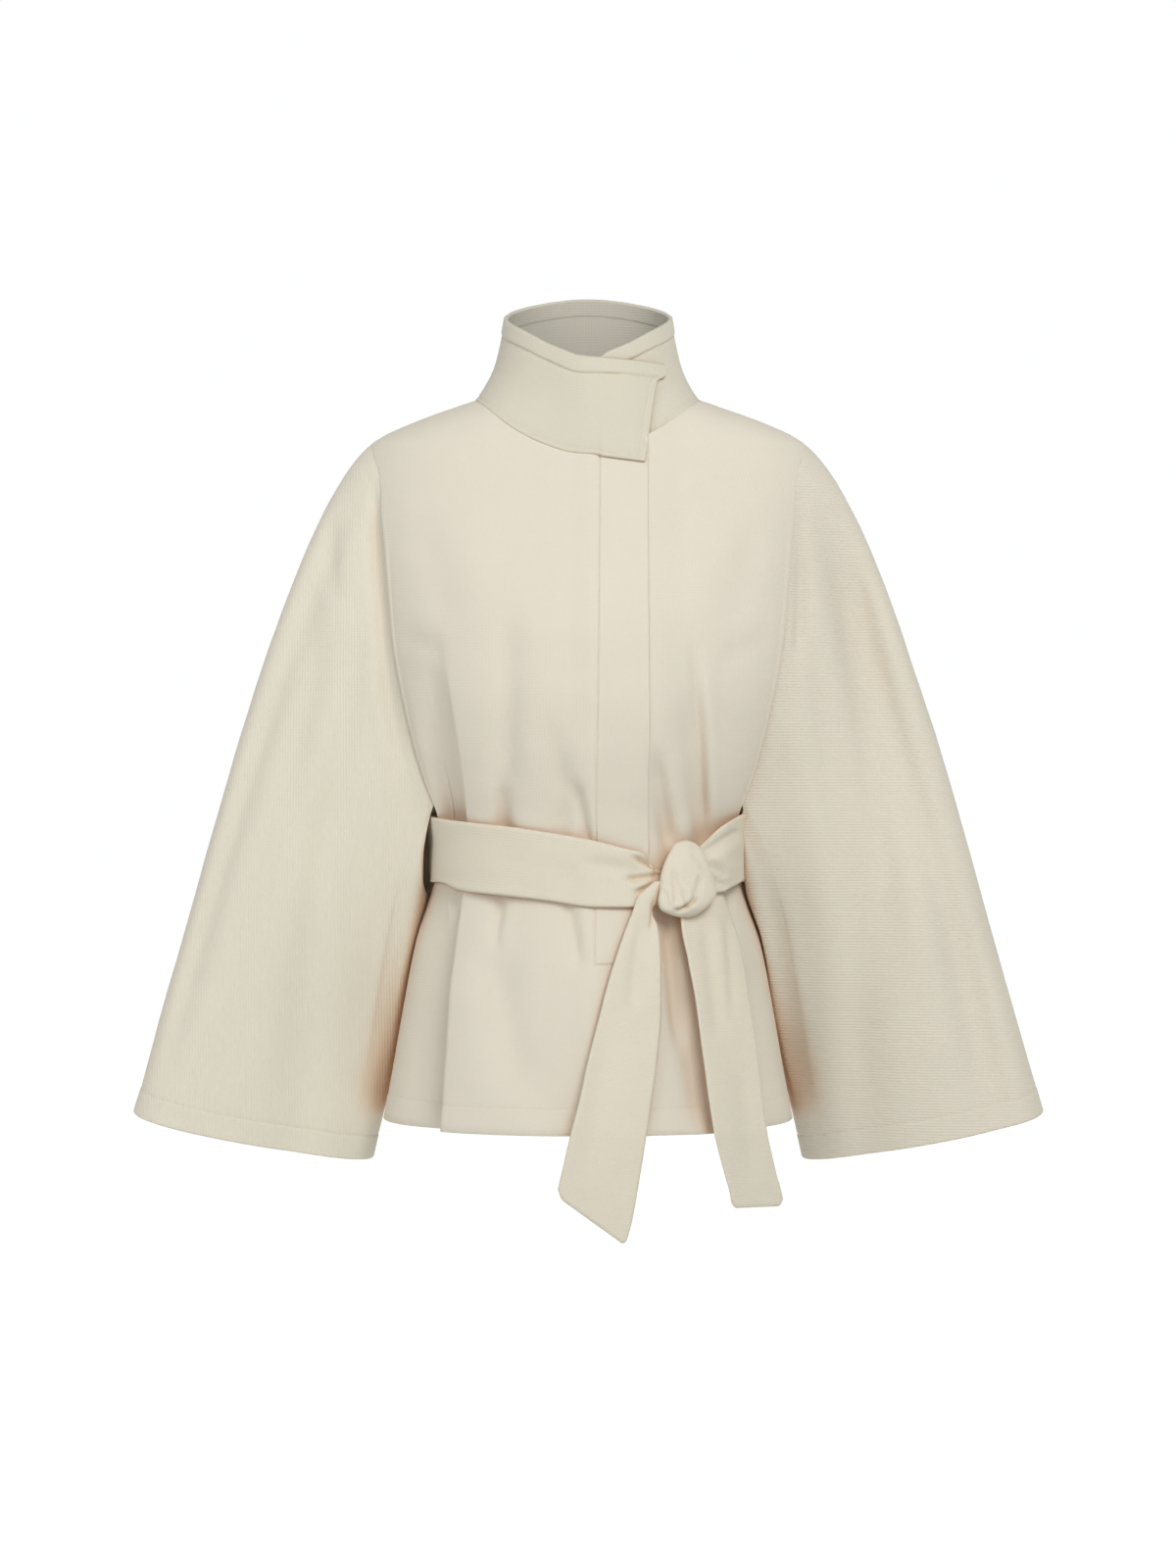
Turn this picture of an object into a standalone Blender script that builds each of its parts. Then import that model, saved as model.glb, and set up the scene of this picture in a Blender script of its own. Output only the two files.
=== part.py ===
"""A belted cape-sleeve jacket in coating cloth, filled out as if worn, with no wearer in it.

Metres, +Z up, the front faces -Y and +X is the left of whoever wears it. The origin lies between the
two shoulder-neck points, where the shoulders carry the jacket. Each cloth piece is a thin wall whose
outer side is worked out from rings round the figure; the wall's thickness goes inwards.
"""

import math

import bpy
import numpy as np

# Cloth and seams
CLOTH = 0.0018  # coating cloth of the body and sleeves
COLLAR_CLOTH = 0.0024  # two layers and a stiffener
BELT_CLOTH = 0.0030  # a turned-out tube pressed flat
SEAM_GAP = 0.0006  # between two pieces that are sewn together
LAP_CLEARANCE = 0.0014  # between a layer and the one lapped over it

# Colours
BODY_COLOUR = (0.69, 0.65, 0.54)
BACK_COLOUR = (0.68, 0.64, 0.53)
SLEEVE_COLOUR = (0.67, 0.63, 0.52)
COLLAR_COLOUR = (0.70, 0.66, 0.55)
BELT_COLOUR = (0.65, 0.61, 0.49)

# Front closing
HEM_STEP = 0.004  # the fronts' hem hangs this much lower than the side seams
LAP_EDGE = 0.0500  # the right front ends here, past the centre line
LAP_START = -0.016  # it starts to rise over the left front here
LAP_FULL = 0.004
UNDERLAP_EDGE = 0.0080  # the left front's hidden edge
PLACKET_INNER = 0.0082  # the stitched side of the button placket
PLACKET_STEP = 0.0010
PLACKET_END = -0.4845  # height where the placket's stitching turns to the edge
PLACKET_RELIEF = 0.0005
SETTLING_STEPS = 6  # rounds that settle a point's place across a panel and its height together

# Belt
BELT_WIDTH = 0.056
BELT_AIR = 0.0012  # between the belt and what it lies on


class Table:
    """Rows of sizes under named columns, read between rows along a smooth curve with no overshoot."""

    def __init__(self, columns, *rows):
        ordered = np.array(sorted(rows), float)
        self.keys = ordered[:, 0]
        self.values = dict(zip(columns.split(), ordered.T))
        self.slopes = {name: self.slope(column) for name, column in self.values.items()}

    def slope(self, column):
        steps = np.diff(self.keys)
        rise = np.diff(column) / steps
        slope = np.zeros_like(column)
        slope[0] = rise[0]
        slope[-1] = rise[-1]
        before, after = rise[:-1], rise[1:]
        same_way = before * after > 0
        near, far = 2 * steps[1:] + steps[:-1], steps[1:] + 2 * steps[:-1]
        mean = (near + far) / (near / np.where(same_way, before, 1) + far / np.where(same_way, after, 1))
        slope[1:-1] = np.where(same_way, mean, 0)
        return slope

    def at(self, name, key):
        key = np.clip(key, self.keys[0], self.keys[-1])
        i = np.clip(np.searchsorted(self.keys, key) - 1, 0, len(self.keys) - 2)
        step = self.keys[i + 1] - self.keys[i]
        t = (key - self.keys[i]) / step
        low, high = self.values[name][i], self.values[name][i + 1]
        rise_low, rise_high = self.slopes[name][i] * step, self.slopes[name][i + 1] * step
        curve = low + t * rise_low + t * t * (3 * (high - low) - 2 * rise_low - rise_high)
        return curve + t**3 * (rise_low + rise_high - 2 * (high - low))


# Rings round the figure at each height, outside of the cloth, from the neck down to the hem.
RINGS = Table(
    "height half_width front_depth back_depth",
    (0.014, 0.0840, 0.0640, 0.0600),
    (0.002, 0.0915, 0.0650, 0.0640),
    (-0.006, 0.1120, 0.0665, 0.0680),
    (-0.0145, 0.1365, 0.0680, 0.0720),
    (-0.023, 0.1585, 0.0700, 0.0760),
    (-0.0315, 0.1770, 0.0720, 0.0795),
    (-0.040, 0.1890, 0.0745, 0.0830),
    (-0.060, 0.1970, 0.0800, 0.0890),
    (-0.090, 0.1980, 0.0910, 0.0960),
    (-0.130, 0.1940, 0.1050, 0.1010),
    (-0.170, 0.1900, 0.1160, 0.1035),
    (-0.210, 0.1860, 0.1230, 0.1030),
    (-0.250, 0.1780, 0.1240, 0.1000),
    (-0.299, 0.1630, 0.1170, 0.0940),
    (-0.335, 0.1490, 0.1070, 0.0890),
    (-0.363, 0.1370, 0.0990, 0.0855),
    (-0.388, 0.1320, 0.0960, 0.0840),
    (-0.412, 0.1320, 0.0960, 0.0845),
    (-0.434, 0.1375, 0.0980, 0.0865),
    (-0.465, 0.1475, 0.1030, 0.0915),
    (-0.529, 0.1600, 0.1130, 0.1010),
    (-0.581, 0.1690, 0.1200, 0.1090),
    (-0.630, 0.1780, 0.1260, 0.1160),
)

# Where the front and back panels end at the side, as an angle from the centre line: the shoulder
# seam and the side seam lie at 90 degrees, and the armhole cuts in between them.
SIDE_EDGE = Table(
    "height front back",
    (0.014, 90.0, 90.0),
    (-0.035, 90.0, 90.0),
    (-0.036, 90.0, 90.0),
    (-0.041, 80.0, 81.0),
    (-0.050, 71.5, 73.0),
    (-0.066, 65.5, 68.0),
    (-0.090, 63.5, 66.0),
    (-0.129, 63.5, 66.0),
    (-0.210, 63.5, 66.0),
    (-0.259, 64.0, 66.0),
    (-0.299, 66.0, 67.0),
    (-0.335, 68.0, 69.0),
    (-0.354, 68.5, 70.0),
    (-0.394, 76.0, 76.0),
    (-0.415, 82.0, 82.0),
    (-0.430, 90.0, 90.0),
    (-0.431, 90.0, 90.0),
    (-0.640, 90.0, 90.0),
)

# Rows of the panels from neckline to hem: the height at the side edge, at the centre front and at
# the centre back. The shoulder row meets the shoulder point and the underarm row the armhole's foot.
ROWS = Table(
    "row side front back",
    (0, 0.0000, -0.0575, 0.0080),
    (1, -0.0060, -0.0660, -0.0040),
    (2, -0.0120, -0.0750, -0.0160),
    (3, -0.0180, -0.0840, -0.0280),
    (4, -0.0240, -0.0930, -0.0400),
    (5, -0.0300, -0.1020, -0.0520),
    (6, -0.0360, -0.1110, -0.0640),
    (7, -0.0410, -0.1190, -0.0750),
    (8, -0.0500, -0.1300, -0.0900),
    (9, -0.0660, -0.1450, -0.1100),
    (10, -0.0900, -0.1630, -0.1330),
    (11, -0.1250, -0.1860, -0.1620),
    (12, -0.1650, -0.2110, -0.1950),
    (13, -0.2050, -0.2380, -0.2280),
    (14, -0.2450, -0.2650, -0.2600),
    (15, -0.2850, -0.2930, -0.2900),
    (16, -0.3200, -0.3200, -0.3200),
    (17, -0.3450, -0.3450, -0.3450),
    (18, -0.3630, -0.3630, -0.3630),
    (19, -0.3800, -0.3800, -0.3800),
    (20, -0.4000, -0.4000, -0.4000),
    (21, -0.4180, -0.4180, -0.4180),
    (22, -0.4300, -0.4300, -0.4300),
    (23, -0.4560, -0.4560, -0.4560),
    (24, -0.4850, -0.4850, -0.4850),
    (25, -0.5180, -0.5180, -0.5180),
    (26, -0.5540, -0.5550, -0.5540),
    (27, -0.5880, -0.5910, -0.5880),
    (28, -0.6220, -0.6220 - HEM_STEP, -0.6240),
)
SHOULDER_ROW = 6
UNDERARM_ROW = 22
HEM_ROW = 28
LEVEL_ROW = 16  # rows from here down run level but for the hem's curve
NECK_BEND = {"front": 0.289, "back": 0.50}  # how soon a row climbs from the centre to the shoulder

# The knife pleat at each side of the front: where its fold lies, how far the cloth is tucked back
# under it (1 is all the way) and how deep the layer beyond it sits.
RIGHT_PLEAT = Table(
    "height fold tucked depth",
    (0.020, 0.0600, 0.0, 0.0000),
    (-0.060, 0.0950, 0.0, 0.0000),
    (-0.200, 0.1240, 0.0, 0.0000),
    (-0.260, 0.1160, 0.0, 0.0035),
    (-0.320, 0.1080, 0.0, 0.0070),
    (-0.362, 0.1040, 0.0, 0.0060),
    (-0.394, 0.1030, 0.0, 0.0040),
    (-0.430, 0.1070, 0.0, 0.0080),
    (-0.470, 0.1110, 0.4, 0.0110),
    (-0.520, 0.1155, 1.0, 0.0120),
    (-0.640, 0.1260, 1.0, 0.0125),
)
LEFT_PLEAT = Table(
    "height fold tucked depth",
    (0.020, 0.0600, 0.0, 0.0000),
    (-0.060, 0.0950, 0.0, 0.0000),
    (-0.200, 0.1150, 0.0, 0.0000),
    (-0.320, 0.1080, 0.0, 0.0000),
    (-0.394, 0.1060, 0.0, 0.0000),
    (-0.430, 0.1150, 0.0, 0.0040),
    (-0.470, 0.1230, 0.2, 0.0075),
    (-0.520, 0.1310, 0.6, 0.0100),
    (-0.640, 0.1440, 0.8, 0.0110),
)
# Steps across the pleat: how far along the ring each lies when the cloth is flat and when it is
# tucked, the share of the pleat's depth there, and how far the cloth has turned over, in degrees.
PLEAT_STEPS = Table(
    "step flat tucked depth turned",
    (0, 0.0000, 0.0000, 0.00, 25),
    (1, 0.0042, 0.0010, 0.10, 70),
    (2, 0.0085, -0.0010, 0.50, 150),
    (3, 0.0130, -0.0080, 0.56, 140),
    (4, 0.0175, -0.0100, 0.76, 90),
    (5, 0.0220, -0.0080, 0.96, 40),
    (6, 0.0270, 0.0070, 1.00, 0),
)

# Soft folds that draw the cloth in, each between two points of a panel: those above the belt deepen
# down to it, and those below fade away from it.
SOFT_FOLDS = (
    # panel, x and height at the top, x and height at the bottom, width, depth
    ("front", -0.066, -0.190, -0.070, -0.372, 0.0120, 0.0045),
    ("front", -0.024, -0.270, -0.020, -0.376, 0.0100, 0.0035),
    ("front", 0.082, -0.200, 0.096, -0.372, 0.0085, 0.0065),
    ("front", 0.052, -0.290, 0.064, -0.372, 0.0090, 0.0025),
    ("front", -0.078, -0.420, -0.040, -0.580, 0.0180, 0.0035),
    ("front", 0.070, -0.420, 0.078, -0.620, 0.0160, 0.0035),
    ("back", -0.082, -0.180, -0.070, -0.372, 0.0140, 0.0045),
    ("back", -0.020, -0.240, -0.026, -0.372, 0.0120, 0.0035),
    ("back", 0.034, -0.210, 0.028, -0.372, 0.0120, 0.0040),
    ("back", 0.088, -0.170, 0.076, -0.372, 0.0140, 0.0045),
    ("back", -0.070, -0.420, -0.094, -0.640, 0.0160, 0.0060),
    ("back", -0.018, -0.420, -0.024, -0.620, 0.0140, 0.0045),
    ("back", 0.032, -0.420, 0.040, -0.630, 0.0140, 0.0045),
    ("back", 0.074, -0.420, 0.098, -0.640, 0.0160, 0.0060),
)
BELT_MIDDLE = -0.400


def ease(t):
    """0 below 0, 1 above 1, and a smooth climb between."""
    t = np.clip(t, 0.0, 1.0)
    return t * t * (3 - 2 * t)


def unit(vectors):
    return vectors / np.linalg.norm(vectors, axis=-1, keepdims=True)


def ring_depth(angle, height):
    return np.where(np.cos(angle) > 0, RINGS.at("front_depth", height), RINGS.at("back_depth", height))


def ring_point(angle, height):
    """A point of the figure's ring at that height; the angle runs from the centre front towards +X."""
    x = RINGS.at("half_width", height) * np.sin(angle)
    y = -ring_depth(angle, height) * np.cos(angle)
    return np.stack(np.broadcast_arrays(x, y, height), axis=-1)


def ring_outward(angle, height):
    """The level direction that points out of the ring there."""
    x = ring_depth(angle, height) * np.sin(angle)
    y = -RINGS.at("half_width", height) * np.cos(angle)
    return unit(np.stack(np.broadcast_arrays(x, y, 0 * x), axis=-1))


def ring_reach(angle, height):
    """Metres along the ring for one radian there."""
    return np.hypot(RINGS.at("half_width", height) * np.cos(angle), ring_depth(angle, height) * np.sin(angle))


def figure_normal(angle, height):
    """The direction out of the figure's surface, slope included."""
    step = 0.001
    across = ring_point(angle + step, height) - ring_point(angle - step, height)
    upward = ring_point(angle, height + step) - ring_point(angle, height - step)
    return unit(np.cross(across, upward))


def fold_depth(panel, x, height):
    """How far the soft folds draw the cloth in at that place of a panel."""
    drawn_in = np.zeros(np.broadcast(x, height).shape)
    for where, x_top, z_top, x_bottom, z_bottom, width, depth in SOFT_FOLDS:
        if where != panel:
            continue
        along = (z_top - height) / (z_top - z_bottom)
        middle = x_top + (x_bottom - x_top) * along
        above_belt = z_bottom > BELT_MIDDLE
        fade = ease(along) * ease(6 - 5 * along) if above_belt else ease(5 * along + 1) * ease(1 - along)
        drawn_in = drawn_in + depth * fade * np.exp(-(((x - middle) / width) ** 2))
    return drawn_in


def row_height(row, across, centre):
    """Height of a row at a share across the panel, 0 at the centre line and 1 at the side edge."""
    side, middle = ROWS.at("side", row), ROWS.at(centre, row)
    bend = NECK_BEND[centre]
    climb = (1 + bend**2) * across**2 / (across**2 + bend**2)
    share = np.where(row < LEVEL_ROW, climb, across**4)
    return middle + (side - middle) * share


def row_end(row, panel):
    """The angle from the centre line at which a row of a panel ends."""
    return np.radians(SIDE_EDGE.at(panel, ROWS.at("side", row)))


# Walls ------------------------------------------------------------------------------------------


def grid_normals(points, wraps):
    """The direction out of a grid's outer side; rows run down it and columns across it."""
    if wraps:
        down = np.roll(points, -1, axis=0) - np.roll(points, 1, axis=0)
    else:
        down = np.gradient(points, axis=0)
    across = np.gradient(points, axis=1)
    return unit(np.cross(down, across))


def add_wall(name, colour, outer, inner, wraps=False):
    """A closed wall between two grids of points. A wrapping grid's last row meets its first."""
    rows, columns = outer.shape[:2]
    count = rows * columns
    faces = []
    for i in range(rows if wraps else rows - 1):
        for j in range(columns - 1):
            a = i * columns + j
            b = (i + 1) % rows * columns + j
            faces.append((a, b, b + 1, a + 1))
            faces.append((a + count, a + 1 + count, b + 1 + count, b + count))
    rim = []
    side_rows = range(rows if wraps else rows - 1)
    rim += [((i + 1) % rows * columns, i * columns) for i in side_rows]
    rim += [(i * columns + columns - 1, (i + 1) % rows * columns + columns - 1) for i in side_rows]
    if not wraps:
        rim += [(j, j + 1) for j in range(columns - 1)]
        rim += [(count - columns + j + 1, count - columns + j) for j in range(columns - 1)]
    faces += [(a, b, b + count, a + count) for a, b in rim]
    points = np.concatenate([outer.reshape(-1, 3), inner.reshape(-1, 3)])
    return add_object(name, colour, points, faces)


def add_object(name, colour, points, faces):
    mesh = bpy.data.meshes.new(name)
    mesh.from_pydata(points.tolist(), [], faces)
    mesh.shade_smooth()
    mesh.set_sharp_from_angle(angle=math.radians(50))
    cloth = bpy.data.materials.new(name + "_cloth")
    cloth.use_nodes = True
    surface = cloth.node_tree.nodes["Principled BSDF"]
    surface.inputs["Base Color"].default_value = (*colour, 1.0)
    surface.inputs["Roughness"].default_value = 0.85
    surface.inputs["Metallic"].default_value = 0.0
    mesh.materials.append(cloth)
    piece = bpy.data.objects.new(name, mesh)
    bpy.context.scene.collection.objects.link(piece)
    return piece


# Fronts -----------------------------------------------------------------------------------------

# The columns of a front run from 0 at its centre edge to 1 at the pleat's fold, 2 past the pleat and
# 3 at the side edge.
PLEAT_STEP_COUNT = 6
RIGHT_EDGE_STRIP = (LAP_EDGE, 0.0360, 0.0220, 0.0095, 0.0070, 0.0020, -0.0070, -0.0160)
LEFT_EDGE_STRIP = (UNDERLAP_EDGE, 0.0220, 0.0360)


def front_point(side, start_x, row, column):
    """A point of a front: side is -1 for the right front and 1 for the left one."""
    pleat = RIGHT_PLEAT if side < 0 else LEFT_PLEAT
    step = np.clip((column - 1) * PLEAT_STEP_COUNT, 0, PLEAT_STEP_COUNT)
    beyond = np.clip(column - 2, 0, 1)
    height = row_height(row, 0.5, "front")
    edge = row_end(row, "front")
    for _ in range(SETTLING_STEPS):
        width = RINGS.at("half_width", height)
        start = np.arcsin(side * start_x / width)
        fold = np.arcsin(np.clip(pleat.at("fold", height) / width, 0, 0.97))
        fold = np.minimum(fold, edge - 0.30)
        tucked = pleat.at("tucked", height)
        flat = PLEAT_STEPS.at("flat", step)
        along = flat + tucked * (PLEAT_STEPS.at("tucked", step) - flat)
        past = fold + along / ring_reach(fold, height)
        angle = np.where(column <= 1, start + (fold - start) * np.clip(column, 0, 1), past)
        angle = np.where(column > 2, past + (edge - past) * beyond, angle)
        height = row_height(row, np.abs(angle) / edge, "front")
    point = ring_point(side * angle, height)
    depth = pleat.at("depth", height) * PLEAT_STEPS.at("depth", step) * (1 - ease(beyond))
    depth = depth + fold_depth("front", point[..., 0], height) * (1 - ease(1.2 * beyond))
    if side < 0:
        depth = depth - lap_rise(point[..., 0]) - placket_rise(point[..., 0], height)
    return point - ring_outward(side * angle, height) * depth[..., None]


def lap_rise(x):
    """How far the right front stands out to lie over the left one."""
    return (CLOTH + LAP_CLEARANCE) * ease((x - LAP_START) / (LAP_FULL - LAP_START))


def placket_rise(x, height):
    across = ease((x - PLACKET_INNER) / PLACKET_STEP + 0.5)
    return PLACKET_RELIEF * across * (height > PLACKET_END)


def make_front(name, side, strip):
    """A front's strip along its centre edge lies at given x, and its other columns spread evenly."""
    strip_grid = np.array([front_strip(side, x) for x in strip])
    even = np.concatenate(
        [
            np.linspace(0, 1, 7)[1:],
            1 + np.arange(1, PLEAT_STEP_COUNT + 1) / PLEAT_STEP_COUNT,
            2 + np.arange(1, 6) / 5,
        ]
    )
    row, column = np.meshgrid(np.arange(HEM_ROW + 1), even, indexing="ij")
    rest = front_point(side, strip[-1], row, column)
    outer = np.concatenate([strip_grid.transpose(1, 0, 2), rest], axis=1)
    if side > 0:
        normals = grid_normals(outer, False)
    else:
        normals = -grid_normals(outer, False)
    height = outer[:, -1, 2]
    edge = np.radians(SIDE_EDGE.at("front", height))
    normals[:, -1] = figure_normal(side * edge, height)
    columns = np.concatenate([np.zeros(len(strip)), even])
    inner = outer + into_pleat(side, outer, columns, -CLOTH * normals)
    if side < 0:
        outer, inner = outer[:, ::-1], inner[:, ::-1]
    return add_wall(name, BODY_COLOUR, outer, inner)


def into_pleat(side, outer, columns, plain):
    """From the wall's outer points to its inner ones: plain but where the cloth turns over in the pleat."""
    pleat = RIGHT_PLEAT if side < 0 else LEFT_PLEAT
    height = outer[..., 2]
    step = np.clip((columns - 1) * PLEAT_STEP_COUNT, 0, PLEAT_STEP_COUNT)
    tucked = pleat.at("tucked", height)
    turned = np.radians(PLEAT_STEPS.at("turned", step)) * tucked
    angle = np.arctan2(outer[..., 0] / RINGS.at("half_width", height), -outer[..., 1] / ring_depth(0, height))
    out = ring_outward(angle, height)
    along = side * np.stack([-out[..., 1], out[..., 0], 0 * height], axis=-1)
    level = -CLOTH * (np.sin(turned)[..., None] * along + np.cos(turned)[..., None] * out)
    near = ease((columns - 0.8) / 0.2) * ease((2.4 - columns) / 0.4) * ease(tucked / 0.2)
    return plain + (level - plain) * near[..., None]


def front_strip(side, x):
    rows = np.arange(HEM_ROW + 1)
    return front_point(side, x, rows, 0 * rows)


# Back -------------------------------------------------------------------------------------------


def back_point(row, across):
    """A point of the back; across runs from -1 at its right side edge to 1 at its left."""
    side = np.where(across < 0, -1.0, 1.0)
    reach = np.abs(across)
    height = row_height(row, reach, "back")
    angle = math.pi - reach * row_end(row, "back")
    point = ring_point(side * angle, height)
    drawn_in = fold_depth("back", point[..., 0], height) * (1 - ease(6 * (reach - 0.84)))
    return point - ring_outward(side * angle, height) * drawn_in[..., None]


def make_back():
    row, across = np.meshgrid(np.arange(HEM_ROW + 1), np.linspace(-1, 1, 29), indexing="ij")
    outer = back_point(row, across)
    normals = -grid_normals(outer, False)
    for column, side in ((0, -1), (-1, 1)):
        height = outer[:, column, 2]
        edge = math.pi - np.radians(SIDE_EDGE.at("back", height))
        normals[:, column] = figure_normal(side * edge, height)
    inner = outer - CLOTH * normals
    outer[:, [0, -1], 1] += SEAM_GAP * shoulder_or_side(outer[:, [0, -1], 2])
    inner[:, [0, -1], 1] += SEAM_GAP * shoulder_or_side(inner[:, [0, -1], 2])
    return add_wall("back", BACK_COLOUR, outer[:, ::-1], inner[:, ::-1])


def shoulder_or_side(height):
    """1 where the back's side edge is sewn to a front, 0 along the armhole."""
    return np.maximum(ease((height + 0.040) / 0.003), ease((-0.426 - height) / 0.003))


# Sleeves ----------------------------------------------------------------------------------------

# The slot at the waist where the armhole seam is left open for the belt: the sleeve's own edge.
SLOT_TOP = -0.350
SLEEVE_SLOT = Table(
    "height out front back",
    (-0.354, 0.1345, -0.0365, 0.0300),
    (-0.364, 0.1425, -0.0345, 0.0292),
    (-0.394, 0.1438, -0.0280, 0.0258),
    (-0.418, 0.1438, -0.0150, 0.0150),
    (-0.430, 0.1390, 0.0000, 0.0000),
)
# How the cloth leaves the armhole, by the share of the way down it: outwards, towards its own face,
# towards the back, and down.
LEAVES = Table(
    "share out fore aft down",
    (0.00, 0.212, 0.000, 0.000, 0.132),
    (0.08, 0.200, -0.030, 0.000, 0.145),
    (0.20, 0.160, -0.050, 0.000, 0.165),
    (0.40, 0.110, -0.045, 0.000, 0.160),
    (0.60, 0.090, -0.035, 0.000, 0.135),
    (0.74, 0.110, -0.020, 0.000, 0.115),
    (0.82, 0.060, -0.010, 0.005, 0.125),
    (0.92, 0.030, -0.005, 0.030, 0.140),
    (1.00, 0.010, 0.000, 0.060, 0.160),
)
# And how it comes to the cuff.
ARRIVES = Table(
    "share out fore aft down",
    (0.0, 0.180, 0.000, 0.000, 0.593),
    (0.3, 0.150, 0.010, 0.000, 0.520),
    (0.6, 0.110, 0.010, 0.000, 0.390),
    (1.0, 0.055, 0.000, 0.040, 0.250),
)
CUFF_OUTER = (0.3940, 0.0020, -0.6140)
CUFF_INNER = (0.1880, 0.0480, -0.6600)
CUFF_DEPTH = {"front": 0.062, "back": 0.058}
CUFF_DROP = 0.007  # the hem's middle hangs lower than a straight line between its ends
CUFF_PINCH = 0.35  # the inner end is thinner than the outer one
BESIDE_HIP = 0.004  # the sleeve hangs this clear of the jacket's skirt
# Soft flutes that run down each sleeve, by the share of the way from shoulder to underarm.
FLUTES = (
    # side, face, share at the shoulder, share at the cuff, width, depth, starts, ends
    (-1, "front", 0.10, 0.20, 0.050, 0.0070, 0.05, 0.75),
    (-1, "front", 0.34, 0.62, 0.070, 0.0060, 0.10, 0.95),
    (1, "front", 0.14, 0.30, 0.070, 0.0090, 0.05, 0.90),
    (1, "front", 0.36, 0.66, 0.070, 0.0060, 0.10, 0.95),
    (-1, "back", 0.16, 0.30, 0.065, 0.0080, 0.05, 0.95),
    (-1, "back", 0.42, 0.64, 0.070, 0.0060, 0.10, 0.95),
    (1, "back", 0.14, 0.26, 0.060, 0.0070, 0.05, 0.95),
    (1, "back", 0.40, 0.62, 0.070, 0.0070, 0.10, 0.95),
)
SEAM_REACH = 0.0058  # the seam's gap, as a share of the way to the cuff
SLEEVE_REACHES = (0.0, 0.06, 0.13, 0.21, 0.30, 0.40, 0.50, 0.60, 0.70, 0.80, 0.90, 1.0)


def panel_edge(row, face):
    """Angle and height of a panel's side edge, on the +X side."""
    height = ROWS.at("side", row)
    angle = np.radians(SIDE_EDGE.at(face, height))
    return (angle if face == "front" else math.pi - angle), height


def armhole_point(row, face):
    """The sleeve's edge at the armhole, for the sleeve on the +X side."""
    angle, height = panel_edge(row, face)
    slot = [SLEEVE_SLOT.at("out", height), SLEEVE_SLOT.at(face, height), height]
    return np.where((height < SLOT_TOP)[..., None], np.stack(slot, axis=-1), ring_point(angle, height))


def way_down(row, face):
    """The share of the armhole's length that lies above a row."""
    rows = np.linspace(SHOULDER_ROW, UNDERARM_ROW, 321)
    points = ring_point(*panel_edge(rows, face))
    lengths = np.concatenate([[0], np.cumsum(np.linalg.norm(np.diff(points, axis=0), axis=1))])
    return np.interp(row, rows, lengths / lengths[-1])


def sleeve_point(side, face, row, reach):
    """A point of a sleeve: row along the armhole, reach from 0 at the armhole to 1 at the cuff."""
    share = way_down(row, face)
    forward = -1.0 if face == "front" else 1.0
    start = armhole_point(row, face)
    leaves = [LEAVES.at(name, share) for name in ("out", "fore", "aft", "down")]
    leaves = np.stack([leaves[0], forward * leaves[1] + leaves[2], -leaves[3]], axis=-1)
    arrives = [ARRIVES.at(name, share) for name in ("out", "fore", "aft", "down")]
    arrives = np.stack([arrives[0], forward * arrives[1] + arrives[2], -arrives[3]], axis=-1)
    over = (1 - np.cos(math.pi * share)) / 2
    bulge = np.sin(math.pi * share) * (1 - CUFF_PINCH * over)
    cuff = np.array(CUFF_OUTER) + over[..., None] * (np.array(CUFF_INNER) - CUFF_OUTER)
    cuff = cuff + bulge[..., None] * np.array([0, forward * CUFF_DEPTH[face], -CUFF_DROP])
    t = reach[..., None]
    point = (2 * t**3 - 3 * t**2 + 1) * start + (t**3 - 2 * t**2 + t) * leaves
    point = point + (3 * t**2 - 2 * t**3) * cuff + (t**3 - t**2) * arrives
    for flute_side, flute_face, top, bottom, width, deep, starts, ends in FLUTES:
        if (flute_side, flute_face) != (side, face):
            continue
        middle = top + (bottom - top) * reach
        fade = ease((reach - starts) / 0.25) * ease((ends + 0.25 - reach) / 0.25)
        point[..., 1] -= forward * deep * fade * np.exp(-(((share - middle) / width) ** 2))
    point = beside_hip(point)
    return point * np.array([side, 1.0, 1.0])


def beside_hip(point):
    """Moves a point of the +X sleeve out until it hangs clear of the jacket's skirt."""
    x, y, z = point[..., 0], point[..., 1], point[..., 2]
    width = RINGS.at("half_width", z)
    depth = np.where(y < 0, RINGS.at("front_depth", z), RINGS.at("back_depth", z))
    inside = 1 - np.hypot(x / width, y / depth) + BESIDE_HIP / width
    below_slot = ease((-0.425 - z) / 0.020)
    push = 0.5 * (inside + np.sqrt(inside**2 + 0.02**2)) * below_slot
    grow = 1 + push / np.hypot(x / width, y / depth)
    return np.stack([x * grow, y * grow, z], axis=-1)


def make_sleeve(name, side):
    """Rows go down the front edge of the armhole and up its back one, so that the grid closes."""
    rows = np.arange(SHOULDER_ROW, UNDERARM_ROW + 1)
    reaches = np.array(SLEEVE_REACHES)
    reaches[0] = SEAM_REACH
    front = sleeve_point(side, "front", *np.meshgrid(rows, reaches, indexing="ij"))
    back = sleeve_point(side, "back", *np.meshgrid(rows[-2:0:-1], reaches, indexing="ij"))
    outer = np.concatenate([front, back])
    normals = grid_normals(outer, True)
    if side < 0:
        normals = -normals
    faces = [("front", row) for row in rows] + [("back", row) for row in rows[-2:0:-1]]
    for i, (face, row) in enumerate(faces):
        angle, height = panel_edge(float(row), face)
        if height > SLOT_TOP:
            normals[i, 0] = figure_normal(side * angle, height)
    inner = outer - CLOTH * normals
    if side < 0:
        outer, inner = outer[:, ::-1], inner[:, ::-1]
    return add_wall(name, SLEEVE_COLOUR, outer, inner, wraps=True)


# Collar -----------------------------------------------------------------------------------------

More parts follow.
